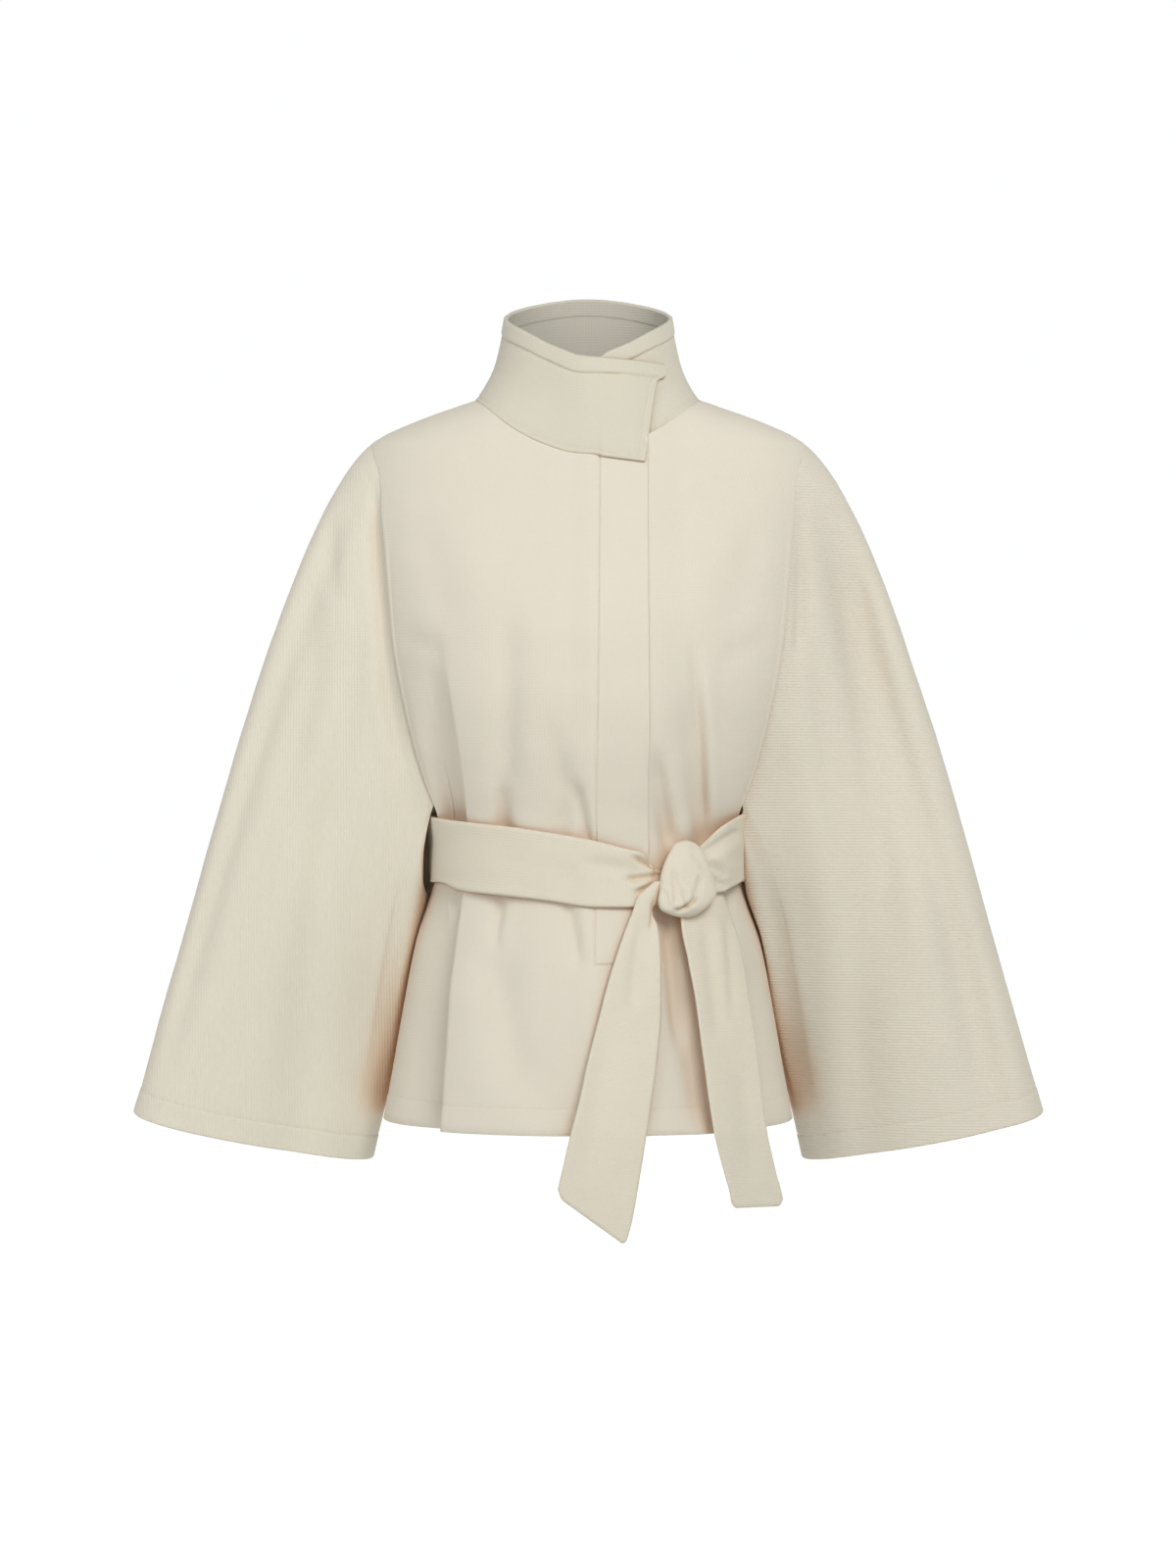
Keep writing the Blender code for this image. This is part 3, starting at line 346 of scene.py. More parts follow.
# The knife pleat at each side of the front: where its fold lies, how far the cloth is tucked back
# under it (1 is all the way) and how deep the layer beyond it sits.
RIGHT_PLEAT = Table(
    "height_mm fold_mm tucked depth_mm",
    (20, 60, 0, 0),
    (-60, 95, 0, 0),
    (-190, 125, 0, 0),
    (-230, 120.5, 0, 1.4),
    (-280, 113.5, 0, 7),
    (-330, 106.8, 0, 12),
    (-362, 104, 0, 11.5),
    (-394, 103, 0, 4),
    (-430, 107, 0, 8),
    (-470, 112.5, 0.6, 15),
    (-520, 116, 1, 18.5),
    (-640, 125.5, 1, 22.5),
)
LEFT_PLEAT = Table(
    "height_mm fold_mm tucked depth_mm",
    (20, 60, 0, 0),
    (-60, 95, 0, 0),
    (-200, 115, 0, 0),
    (-320, 108, 0, 0),
    (-394, 106, 0, 0),
    (-430, 115, 0, 4),
    (-470, 123, 0.2, 7.5),
    (-520, 131, 0.6, 10),
    (-640, 144, 0.8, 11),
)
# Steps across the pleat: how far along the ring each lies when the cloth is flat and when it is tucked,
# the share of the pleat's depth there in both states, and how far the cloth has turned over, in degrees.
PLEAT_STEPS = Table(
    "step flat_mm tucked_mm flat_depth depth turned",
    (0, 0, 0, 0, 0, 25),
    (1, 4.2, 1, 0.55, 0.1, 70),
    (2, 8.5, -1, 0.96, 0.5, 150),
    (3, 13, -8, 1, 0.56, 140),
    (4, 17.5, -10, 0.9, 0.76, 90),
    (5, 22, -8, 0.78, 0.96, 40),
    (6, 27, 7, 0.62, 1, 0),
)

# Soft folds that draw the cloth in, each between two points of a panel: those above the belt deepen
# down to it, and those below fade away from it.
SOFT_FOLDS = (
    # panel; in mm, x and height at the top, x and height at the bottom, width, depth
    ("front", -66, -190, -70, -372, 12, 4.5),
    ("front", -24, -270, -20, -376, 10, 3.5),
    ("front", 82, -200, 96, -372, 8.5, 6.5),
    ("front", 52, -290, 64, -372, 9, 2.5),
    ("front", -78, -420, -40, -580, 18, 3.5),
    ("front", 70, -420, 78, -620, 16, 3.5),
    ("back", -82, -180, -70, -372, 14, 4.5),
    ("back", -20, -240, -26, -372, 12, 3.5),
    ("back", 34, -210, 28, -372, 12, 4),
    ("back", 88, -170, 76, -372, 14, 4.5),
    ("back", -70, -420, -94, -640, 16, 6),
    ("back", -18, -420, -24, -620, 14, 4.5),
    ("back", 32, -420, 40, -630, 14, 4.5),
    ("back", 74, -420, 98, -640, 16, 6),
)
BELT_MIDDLE = -0.400


def ease(t):
    """0 below 0, 1 above 1, and a smooth climb between."""
    t = np.clip(t, 0.0, 1.0)
    return t * t * (3 - 2 * t)


def ramp(value, start, length):
    """0 up to the start, 1 a length past it, and a smooth climb between; a negative length looks back."""
    return ease((value - start) / length)


def unit(vectors):
    return vectors / np.linalg.norm(vectors, axis=-1, keepdims=True)


def ring_depth(angle, height):
    return np.where(np.cos(angle) > 0, RINGS.at("front_depth", height), RINGS.at("back_depth", height))


def ring_point(angle, height):
    """A point of the figure's ring at that height; the angle runs from the centre front towards +X."""
    x = RINGS.at("half_width", height) * np.sin(angle)
    y = -ring_depth(angle, height) * np.cos(angle)
    return np.stack(np.broadcast_arrays(x, y, height), axis=-1)


def ring_outward(angle, height):
    """The level direction that points out of the ring there."""
    x = ring_depth(angle, height) * np.sin(angle)
    y = -RINGS.at("half_width", height) * np.cos(angle)
    return unit(np.stack(np.broadcast_arrays(x, y, 0 * x), axis=-1))


def ring_reach(angle, height):
    """Metres along the ring for one radian there."""
    across, ahead = RINGS.at("half_width", height), ring_depth(angle, height)
    return np.hypot(across * np.cos(angle), ahead * np.sin(angle))


def figure_normal(angle, height):
    """The direction out of the figure's surface, slope included."""
    step = 0.001
    across = ring_point(angle + step, height) - ring_point(angle - step, height)
    upward = ring_point(angle, height + step) - ring_point(angle, height - step)
    return unit(np.cross(across, upward))


def fold_depth(panel, x, height):
    """How far the soft folds draw the cloth in at that place of a panel."""
    drawn_in = np.zeros(np.broadcast(x, height).shape)
    for where, *sizes in SOFT_FOLDS:
        if where != panel:
            continue
        x_top, z_top, x_bottom, z_bottom, width, depth = np.array(sizes) * MM
        along = (z_top - height) / (z_top - z_bottom)
        middle = x_top + (x_bottom - x_top) * along
        above_belt = z_bottom > BELT_MIDDLE
        fade = ease(along) * ease(6 - 5 * along) if above_belt else ease(5 * along + 1) * ease(1 - along)
        drawn_in = drawn_in + depth * fade * np.exp(-(((x - middle) / width) ** 2))
    return drawn_in


def row_height(row, across, centre):
    """Height of a row at a share across the panel, 0 at the centre line and 1 at the side edge."""
    side, middle = ROWS.at("side", row), ROWS.at(centre, row)
    bend = NECK_BEND[centre]
    climb = (1 + bend**2) * across**2 / (across**2 + bend**2)
    share = np.where(row < LEVEL_ROW, climb, across**4)
    return middle + (side - middle) * share


def row_end(row, panel):
    """The angle from the centre line at which a row of a panel ends."""
    return np.radians(SIDE_EDGE.at(panel, ROWS.at("side", row)))


def grid_normals(points, wraps):
    """The direction out of a grid's outer side; rows run down it and columns across it."""
    if wraps:
        down = np.roll(points, -1, axis=0) - np.roll(points, 1, axis=0)
    else:
        down = np.gradient(points, axis=0)
    across = np.gradient(points, axis=1)
    return unit(np.cross(down, across))


# The columns of a front run from 0 at its centre edge to 1 at the pleat's fold, 2 past the pleat and
# 3 at the side edge.
PLEAT_STEP_COUNT = 6


def front_point(side, start_x, row, column):
    """A point of a front: side is -1 for the right front and 1 for the left one."""
    pleat = RIGHT_PLEAT if side < 0 else LEFT_PLEAT
    step = np.clip((column - 1) * PLEAT_STEP_COUNT, 0, PLEAT_STEP_COUNT)
    beyond = np.clip(column - 2, 0, 1)
    height = row_height(row, 0.5, "front")
    edge = row_end(row, "front")
    for _ in range(SETTLING_STEPS):
        width = RINGS.at("half_width", height)
        start = np.arcsin(side * start_x / width)
        fold = np.arcsin(np.clip(pleat.at("fold", height) / width, 0, 0.97))
        fold = np.minimum(fold, edge - 0.30)
        tucked = pleat.at("tucked", height)
        flat = PLEAT_STEPS.at("flat", step)
        along = flat + tucked * (PLEAT_STEPS.at("tucked", step) - flat)
        past = fold + along / ring_reach(fold, height)
        angle = np.where(column <= 1, start + (fold - start) * np.clip(column, 0, 1), past)
        angle = np.where(column > 2, past + (edge - past) * beyond, angle)
        height = row_height(row, np.abs(angle) / edge, "front")
    point = ring_point(side * angle, height)
    flat_depth = PLEAT_STEPS.at("flat_depth", step)
    depth = flat_depth + tucked * (PLEAT_STEPS.at("depth", step) - flat_depth)
    depth = pleat.at("depth", height) * depth * (1 - ease(beyond))
    depth = depth + fold_depth("front", point[..., 0], height) * (1 - ease(1.2 * beyond))
    if side < 0:
        depth = depth - lap_rise(point[..., 0]) - placket_rise(point[..., 0], height)
    return point - ring_outward(side * angle, height) * depth[..., None]


def lap_rise(x):
    """How far the right front stands out to lie over the left one."""
    return (CLOTH + LAP_CLEARANCE) * ease((x - LAP_START) / (LAP_FULL - LAP_START))


def placket_rise(x, height):
    across = ease((x - fly_line(height)) / PLACKET_STEP + 0.5)
    return PLACKET_RELIEF * across * ease((height - PLACKET_END) / 0.002 + 0.5)


def into_pleat(side, outer, columns, plain):
    """From the wall's outer points to its inner ones: plain but where the cloth turns over in the pleat."""
    pleat = RIGHT_PLEAT if side < 0 else LEFT_PLEAT
    height = outer[..., 2]
    step = np.clip((columns - 1) * PLEAT_STEP_COUNT, 0, PLEAT_STEP_COUNT)
    tucked = pleat.at("tucked", height)
    turned = np.radians(PLEAT_STEPS.at("turned", step)) * tucked
    across, ahead = RINGS.at("half_width", height), ring_depth(0, height)
    angle = np.arctan2(outer[..., 0] / across, -outer[..., 1] / ahead)
    out = ring_outward(angle, height)
    along = side * np.stack([-out[..., 1], out[..., 0], 0 * height], axis=-1)
    level = -CLOTH * (np.sin(turned)[..., None] * along + np.cos(turned)[..., None] * out)
    near = ease((columns - 0.8) / 0.2) * ease((2.4 - columns) / 0.4) * ease(tucked / 0.2)
    return plain + (level - plain) * near[..., None]


def fly_line(height):
    """Where the stitched side of the fly lies: it leans a little towards the wearer's right going down."""
    return FLY_TOP + (FLY_FOOT - FLY_TOP) * np.clip((FLY_START - height) / (FLY_START - PLACKET_END), 0, 1)


def unevenness(points, size, seed):
    """Soft random rises and dips of about the given size, from -1 to 1, the same on each run."""
    lattice = np.random.default_rng(seed).uniform(-1, 1, (24, 24, 24))
    cell = points / size
    base = np.floor(cell)
    blend = ease(cell - base)
    index = base.astype(int)
    total = np.zeros(points.shape[:-1])
    for corner in itertools.product((0, 1), repeat=3):
        i, j, k = np.moveaxis((index + corner) % 24, -1, 0)
        total += np.prod(np.where(corner, blend, 1 - blend), axis=-1) * lattice[i, j, k]
    return total


def rough(points, layers):
    """Random rises and dips in layers; each has a depth, a size and a seed."""
    return sum(depth * unevenness(points, size, seed) for depth, size, seed in layers)


def crease_depth(points, rows):
    """How far creases press the cloth in, seen from the front; each has a soft ridge at one side."""
    pressed = np.zeros(points.shape[:-1])
    seen = points[..., [0, 2]]
    for x0, z0, x1, z1, x2, z2, width, depth, ridge in np.array(rows) * MM:
        t = np.linspace(0, 1, 17)[:, None]
        line = (1 - t) ** 2 * [x0, z0] + 2 * t * (1 - t) * np.array([x1, z1]) + t**2 * [x2, z2]
        low, high = line.min(axis=0) - 5 * width, line.max(axis=0) + 5 * width
        near = np.all((seen > low) & (seen < high), axis=-1)
        if not near.any():
            continue
        away = seen[near][:, None] - line
        nearest = np.argmin((away**2).sum(axis=-1), axis=1)
        along = unit(np.gradient(line, axis=0))[nearest]
        offset = away[np.arange(len(nearest)), nearest]
        ahead = (along * offset).sum(axis=-1)
        aside = along[:, 0] * offset[:, 1] - along[:, 1] * offset[:, 0]
        share = nearest / 16 + ahead / np.linalg.norm(line[-1] - line[0])
        fade = ease(share / 0.35) * ease((1.12 - share) / 0.30)
        valley = depth * np.exp(-((aside / width) ** 2))
        hill = abs(ridge) * np.exp(-(((aside - np.sign(ridge) * 2.2 * width) / (1.5 * width)) ** 2))
        pressed[near] += fade * (valley - hill)
    return pressed


def groove(distance, depth=STITCH_DIP, width=STITCH_DIP_WIDTH):
    """The dip that a line of stitching pulls into the cloth."""
    return depth * np.exp(-((distance / width) ** 2))


def turned_up(above, stitch, depth=STITCH_DIP):
    """A stitched hem's line, pulled in, and the turned-up cloth below it, which stands a little proud."""
    return groove(above - stitch, depth) - HEM_RELIEF * ease((stitch - above) / 0.002)


def lengths_along(points, axis):
    """Distance along the cloth from a grid's first row or column."""
    steps = np.linalg.norm(np.diff(points, axis=axis), axis=-1)
    start = np.zeros_like(np.take(steps, [0], axis=axis))
    return np.concatenate([start, np.cumsum(steps, axis=axis)], axis=axis)


def spaced(start, end, step, *fine):
    """Places from start to end a step apart, closer within each (centre, half width, step) of fine."""
    places = np.linspace(start, end, round(abs(end - start) / step) + 1)
    for centre, half_width, small in fine:
        places = places[np.abs(places - centre) > half_width]
        extra = np.arange(centre - half_width, centre + half_width + small / 2, small)
        places = np.concatenate([places, extra[(extra >= min(start, end)) & (extra <= max(start, end))]])
    places = np.unique(np.round(np.append(places, [start, end]), 7))
    return places if end > start else places[::-1]


def hung_weave(points):
    """Weave coordinates in metres for cloth that hangs round the figure: round it, and down it."""
    x, y, z = np.moveaxis(points, -1, 0)
    turn = np.linspace(-math.pi, math.pi, 361)
    arc = np.cumsum(np.hypot(MEAN_WIDTH * np.cos(turn), MEAN_DEPTH * np.sin(turn))) * math.radians(1)
    facing = np.where(y.mean() < 0, -1, 1)
    around = np.interp(np.arctan2(x / MEAN_WIDTH, facing * y / MEAN_DEPTH), turn, arc)
    above_chest = z + 0.05
    return np.stack([around, -z - 0.4 * (above_chest + np.hypot(above_chest, 0.02))], -1)


def cloth_piece(name, outer, inner, material, wraps=False, facing=None, weave=None):
    """A wall between two grids of points with rounded edges; its UVs are metres along the cloth."""
    rows, columns = outer.shape[:2]
    count = rows * columns
    down = lengths_along(np.concatenate([outer, outer[:1]]) if wraps else outer, 0)
    across = lengths_along(np.concatenate([outer, outer[:1]]) if wraps else outer, 1)
    if weave is None:
        weave = np.stack([across, down], -1)
    elif wraps:
        weave = np.concatenate([weave, weave[:1]])
    weave = weave.reshape(-1, 2)
    a = (np.arange(rows if wraps else rows - 1)[:, None] * columns + np.arange(columns - 1)).reshape(-1)
    face_places = [np.stack([a, a + columns, a + columns + 1, a + 1], -1)]
    face_places.append(face_places[0][:, ::-1])
    corners = [face_places[0] % count, face_places[1] % count + count]
    first = np.arange(rows if wraps else rows - 1) * columns
    if wraps:
        last = first + columns - 1
        loops = [(first, first + columns, 1, False), (last, last + columns, -1, True)]
    else:
        top, foot = np.arange(columns - 1), count - 1 - np.arange(columns - 1)
        starts = np.concatenate([top, first + columns - 1, foot, first[::-1] + columns])
        beside = [top + columns, first + columns - 2, foot - columns, first[::-1] + columns + 1]
        beside = np.concatenate(beside)
        loops = [(starts, np.roll(starts, -1), beside - starts, True)]
    points = [outer.reshape(-1, 3), inner.reshape(-1, 3)]
    total = 2 * count
    for starts, ends, beside, forward in loops:
        high, low = points[0][starts % count], points[1][starts % count]
        within = (starts + beside) % count
        outward = unit(high + low - points[0][within] - points[1][within])
        thickness = np.linalg.norm(high - low, axis=-1, keepdims=True)
        points.append((high + low) / 2 + EDGE_ROUND * thickness * outward)
        middle = total + np.arange(len(starts))
        next_middle = np.roll(middle, -1)
        total += len(starts)
        for near, next_near, far, next_far in (
            (starts % count, ends % count, middle, next_middle),
            (middle, next_middle, starts % count + count, ends % count + count),
        ):
            strip = np.stack([near, next_near, next_far, far], -1)
            place = np.stack([starts, ends, ends, starts], -1)
            corners.append(strip if forward else strip[:, ::-1])
            face_places.append(place if forward else place[:, ::-1])
    mesh = bpy.data.meshes.new(name)
    mesh.from_pydata(np.concatenate(points).tolist(), [], np.concatenate(corners).tolist())
    layer = mesh.uv_layers.new(name="weave")
    layer.data.foreach_set("uv", weave[np.concatenate(face_places)].astype(np.float32).ravel())
    mesh.materials.append(material)
    mesh.materials.append(facing or material)
    inside = np.zeros(len(mesh.polygons), np.int32)
    inside[len(a) : 2 * len(a)] = 1
    mesh.polygons.foreach_set("material_index", inside)
    mesh.shade_smooth()
    mesh.update()
    piece = bpy.data.objects.new(name, mesh)
    studio.collection.objects.link(piece)
    return piece


def coating(name, hex_colour, level_ribs, upright_ribs):
    """Rib-woven cotton coating, brushed and matte: soft ribs, uneven thread, no shine to speak of. Its
    colour also carries painted shade: a little darker in the ribs' furrows, and darker and warmer where
    other cloth lies near.
    """
    material = bpy.data.materials.new(name)
    material.use_nodes = True
    tree = material.node_tree
    surface = tree.nodes["Principled BSDF"]
    surface.inputs["Roughness"].default_value = 0.88
    surface.inputs["Specular IOR Level"].default_value = 0.25
    surface.inputs["Sheen Weight"].default_value = 0.10
    surface.inputs["Sheen Roughness"].default_value = 0.5
    weave = add_node(tree, "ShaderNodeUVMap", (-1600, 0), {"uv_map": "weave"})
    place = add_node(tree, "ShaderNodeTexCoord", (-1600, -400))
    lanes = add_node(tree, "ShaderNodeSeparateXYZ", (-1400, 0), Vector=weave.outputs["UV"])
    slub = add_node(
        tree, "ShaderNodeTexNoise", (-1400, -300),
        inputs={"Scale": SLUB_SCALE, "Detail": 3.0, "Roughness": 0.6}, Vector=place.outputs["Object"]
    )
    cloud = add_node(
        tree, "ShaderNodeTexNoise", (-1400, -600),
        inputs={"Scale": CLOUD_SCALE, "Detail": 3.0, "Roughness": 0.55}, Vector=place.outputs["Object"]
    )
    waves = []
    for lane, strength, height in (("Y", level_ribs, 200), ("X", upright_ribs, 0)):
        turns = 2 * math.pi / RIB_PITCH
        waver = add_node(
            tree, "ShaderNodeMath", (-1200, height), {"operation": "MULTIPLY_ADD"}, {1: RIB_WAVER},
            _0=slub.outputs["Fac"], _2=lanes.outputs[lane]
        )
        phase = add_node(
            tree, "ShaderNodeMath", (-1000, height), {"operation": "MULTIPLY"}, {1: turns},
            _0=waver.outputs[0]
        )
        wave = add_node(
            tree, "ShaderNodeMath", (-800, height), {"operation": "SINE"}, _0=phase.outputs[0]
        )
        waves.append(
            add_node(
                tree, "ShaderNodeMath", (-600, height), {"operation": "MULTIPLY"}, {1: strength},
                _0=wave.outputs[0]
            )
        )
    ribs = add_node(
        tree, "ShaderNodeMath", (-400, 100), {"operation": "ADD"}, _0=waves[0].outputs[0],
        _1=waves[1].outputs[0]
    )
    relief = add_node(
        tree, "ShaderNodeMath", (-200, -200), {"operation": "MULTIPLY_ADD"}, {1: 1.6},
        _0=slub.outputs["Fac"], _2=ribs.outputs[0]
    )
    bump = add_node(
        tree, "ShaderNodeBump", (0, -300), inputs={"Strength": 0.6, "Distance": RIB_RELIEF},
        Height=relief.outputs[0]
    )
    base = np.array(linear(hex_colour))
    tones = add_node(
        tree, "ShaderNodeMix", (-200, 300), {"data_type": "RGBA"},
        {6: (*(base * 0.955), 1.0), 7: (*np.minimum(base * 1.035, 1.0), 1.0)}, _0=cloud.outputs["Fac"]
    )
    # Partly painted shade: the colour is darker in the ribs' furrows and lighter on their crests, and it
    # also follows the uneven threads' own tone.
    furrow_shade = add_node(
        tree, "ShaderNodeMath", (-200, 100), {"operation": "MULTIPLY_ADD"}, {1: 0.022, 2: 0.98},
        _0=relief.outputs[0]
    )
    grain_and_furrow_shade = add_node(
        tree, "ShaderNodeMix", (0, 300), {"data_type": "RGBA", "blend_type": "MULTIPLY"}, {0: 1.0},
        _6=tones.outputs[2], _7=furrow_shade.outputs[0]
    )
    # Painted shade: an occlusion probe darkens and warms the colour where other cloth lies near.
    painted_shade_probe = add_node(
        tree, "ShaderNodeAmbientOcclusion", (0, 600), {"samples": 8}, {"Distance": PAINTED_SHADE_REACH}
    )
    painted_shade_share = add_node(
        tree, "ShaderNodeMapRange", (180, 600), {}, {1: 0.0, 2: 0.85, 3: 0.0, 4: 1.0},
        Value=painted_shade_probe.outputs["AO"]
    )
    painted_shade_colour = add_node(
        tree, "ShaderNodeMix", (360, 600), {"data_type": "RGBA"},
        {6: (*PAINTED_SHADE_TINT, 1.0), 7: (1.0, 1.0, 1.0, 1.0)}, _0=painted_shade_share.outputs[0]
    )
    shaded_colour = add_node(
        tree, "ShaderNodeMix", (540, 400), {"data_type": "RGBA", "blend_type": "MULTIPLY"}, {0: 1.0},
        _6=grain_and_furrow_shade.outputs[2], _7=painted_shade_colour.outputs[2]
    )
    surface.location = (760, 200)
    tree.links.new(shaded_colour.outputs[2], surface.inputs["Base Color"])
    tree.links.new(bump.outputs[0], surface.inputs["Normal"])
    return material


def stitch_tree():
    """Small rounded stitches laid end to end along curves; named inputs give their sizes and thread."""
    tree = bpy.data.node_groups.new("running_stitch", "GeometryNodeTree")
    sockets = tree.interface
    sockets.new_socket("Seam", in_out="INPUT", socket_type="NodeSocketGeometry")
    for label, value in (("Pitch", 0.0032), ("Stitch Length", 0.0023), ("Thread", 0.00055)):
        socket = sockets.new_socket(label, in_out="INPUT", socket_type="NodeSocketFloat")
        socket.default_value = value
    sockets.new_socket("Thread Material", in_out="INPUT", socket_type="NodeSocketMaterial")
    sockets.new_socket("Stitches", in_out="OUTPUT", socket_type="NodeSocketGeometry")
    given = add_node(tree, "NodeGroupInput", (-900, 0))
    spots = add_node(
        tree, "GeometryNodeCurveToPoints", (-600, 200), {"mode": "LENGTH"}, Curve=given.outputs["Seam"],
        Length=given.outputs["Pitch"]
    )
    bead = add_node(
        tree, "GeometryNodeMeshUVSphere", (-600, -200), inputs={"Segments": 6, "Rings": 4, "Radius": 0.5}
    )
    size = add_node(
        tree, "ShaderNodeCombineXYZ", (-600, -400), X=given.outputs["Stitch Length"],
        Y=given.outputs["Thread"], Z=given.outputs["Thread"]
    )
    turn = add_node(
        tree, "FunctionNodeAlignRotationToVector", (-400, 0), {"axis": "X"},
        Vector=spots.outputs["Tangent"]
    )
    laid = add_node(
        tree, "GeometryNodeInstanceOnPoints", (-200, 100), Points=spots.outputs["Points"],
        Instance=bead.outputs["Mesh"], Rotation=turn.outputs["Rotation"], Scale=size.outputs["Vector"]
    )
    plain = add_node(tree, "GeometryNodeRealizeInstances", (0, 100), Geometry=laid.outputs["Instances"])
    smooth = add_node(tree, "GeometryNodeSetShadeSmooth", (150, 100), Geometry=plain.outputs["Geometry"])
    dyed = add_node(
        tree, "GeometryNodeSetMaterial", (300, 100), Geometry=smooth.outputs["Geometry"],
        Material=given.outputs["Thread Material"]
    )
    add_node(tree, "NodeGroupOutput", (500, 100), Stitches=dyed.outputs["Geometry"])
    return tree


def sewn(name, paths, thread):
    """The stitches along some paths, as one plain mesh."""
    seam = bpy.data.curves.new(name + "_line", "CURVE")
    seam.dimensions = "3D"
    for path in paths:
        spline = seam.splines.new("POLY")
        spline.points.add(len(path) - 1)
        spline.points.foreach_set("co", np.concatenate([path, np.ones((len(path), 1))], axis=1).ravel())
    line = bpy.data.objects.new(name + "_line", seam)
    studio.collection.objects.link(line)
    modifier = line.modifiers.new("stitches", "NODES")
    modifier.node_group = running_stitch
    for socket in running_stitch.interface.items_tree:
        if socket.name == "Thread Material":
            modifier[socket.identifier] = thread
    graph = bpy.context.evaluated_depsgraph_get()
    mesh = bpy.data.meshes.new_from_object(line.evaluated_get(graph))
    bpy.data.objects.remove(line)
    bpy.data.curves.remove(seam)
    mesh.name = name
    piece = bpy.data.objects.new(name, mesh)
    studio.collection.objects.link(piece)
    return piece


def thread_material(name, hex_colour):
    """Spun polyester sewing thread: a matte line a little lighter or darker than the cloth beside it."""
    material = bpy.data.materials.new(name)
    material.use_nodes = True
    tree = material.node_tree
    surface = tree.nodes["Principled BSDF"]
    surface.inputs["Roughness"].default_value = 0.6
    place = add_node(tree, "ShaderNodeTexCoord", (-800, 0))
    twist = add_node(
        tree, "ShaderNodeTexNoise", (-600, 0), inputs={"Scale": 900.0}, Vector=place.outputs["Object"]
    )
    base = np.array(linear(hex_colour))
    shade = add_node(
        tree, "ShaderNodeMix", (-300, 0), {"data_type": "RGBA"},
        {6: (*(base * 0.85), 1.0), 7: (*np.minimum(base * 1.1, 1.0), 1.0)}, _0=twist.outputs["Fac"]
    )
    tree.links.new(shade.outputs[2], surface.inputs["Base Color"])
    return material


def across_at(points, measure, value):
    """The path that crosses a grid's columns where a measure that changes down each one has a value."""
    path = []
    for j in range(points.shape[1]):
        order = np.argsort(measure[:, j])
        path.append([np.interp(value, measure[order, j], points[order, j, k]) for k in range(3)])
    return np.array(path)


def front_cloth(side, strip, rows, columns):
    """A front's outer points with its creases, hem and stitch lines pressed in, and its inner ones."""
    strip_row, strip_x = np.meshgrid(rows, strip, indexing="ij")
    fly_shift = (fly_line(ROWS.at("front", strip_row)) - PLACKET_INNER) * (side < 0)
    strip_x = strip_x + fly_shift * np.exp(-(((strip_x - PLACKET_INNER) / FLY_SHIFT_REACH) ** 2))
    row, column = np.meshgrid(rows, columns[1:], indexing="ij")
    lap = front_point(side, strip_x, strip_row, 0 * strip_row)
    outer = np.concatenate([lap, front_point(side, strip[-1], row, column)], axis=1)
    across = np.concatenate([np.zeros(len(strip)), columns[1:]])
    facing = 1 if side > 0 else -1
    normals = facing * grid_normals(outer, False)
    x, height = outer[..., 0], outer[..., 2]
    hold = ease((3 - across) / CREASE_SIDE) * ease(rows / CREASE_TOP)[:, None]
    pressed = crease_depth(outer, FRONT_CREASES) * hold
    pressed -= rough(outer, FRONT_ROUGH) * hold
    down = lengths_along(outer, 0)
    above_hem = down[-1] - down
    pressed += turned_up(above_hem, HEM_STITCH)
    pressed += groove(above_hem - HEM_PRESS, *HEM_FOLD_DIP)
    if side > 0:
        beside = ramp(x, *SWELL_STARTS)
        pressed -= (LAP_LIFT + LAP_SWELL * beside) * (1 - ramp(x, *SWELL_ENDS))
    else:
        off_fly = x - fly_line(height)
        on_lap = across == 0
        pressed += groove(off_fly, *FLY_DIP) * ease((height - PLACKET_END) / 0.001) * on_lap
        pressed += groove(height - PLACKET_END, FLY_END_DIP) * ease(off_fly / 0.001) * on_lap
        pressed -= LAP_EDGE_PROUD * (1 - ease((LAP_EDGE - x) / 0.004)) * on_lap
    pressed -= SEAM_RIDGE * ramp(across, *FRONT_RIDGE) * ramp(height, *RIDGE_TOP)
    outer = outer - pressed[..., None] * normals
    normals = facing * grid_normals(outer, False)
    height = outer[:, -1, 2]
    normals[:, -1] = figure_normal(side * np.radians(SIDE_EDGE.at("front", height)), height)
    inner = outer + into_pleat(side, outer, across, -CLOTH * normals)
    return outer, inner, above_hem


cream_coating = coating("cream_rib_coating", FRONT_HEX, 0.16, 0.20)
cream_thread = thread_material("cream_polyester_thread", "#CFC5AE")
running_stitch = stitch_tree()
front_rows = spaced(0, HEM_ROW, 0.2, (27.36, 0.16, 0.032), (24.0, 0.12, 0.03))
pleat_columns = [np.linspace(0, 1, 36), np.linspace(1, 2, 25)[1:], np.linspace(2, 3, 33)[1:]]
pleat_columns = np.concatenate([*pleat_columns, [2.86, 2.88, 2.90, 2.92, 2.965, 2.98, 2.99]])
pleat_columns = np.unique(pleat_columns)
right_strip = spaced(LAP_EDGE, -0.016, 0.002, (PLACKET_INNER, 0.004, 0.0005), (LAP_EDGE, 0.004, 0.001))
left_strip = spaced(UNDERLAP_EDGE, 0.0600, 0.0025, (LAP_EDGE, 0.003, 0.0003))
front_seams = []
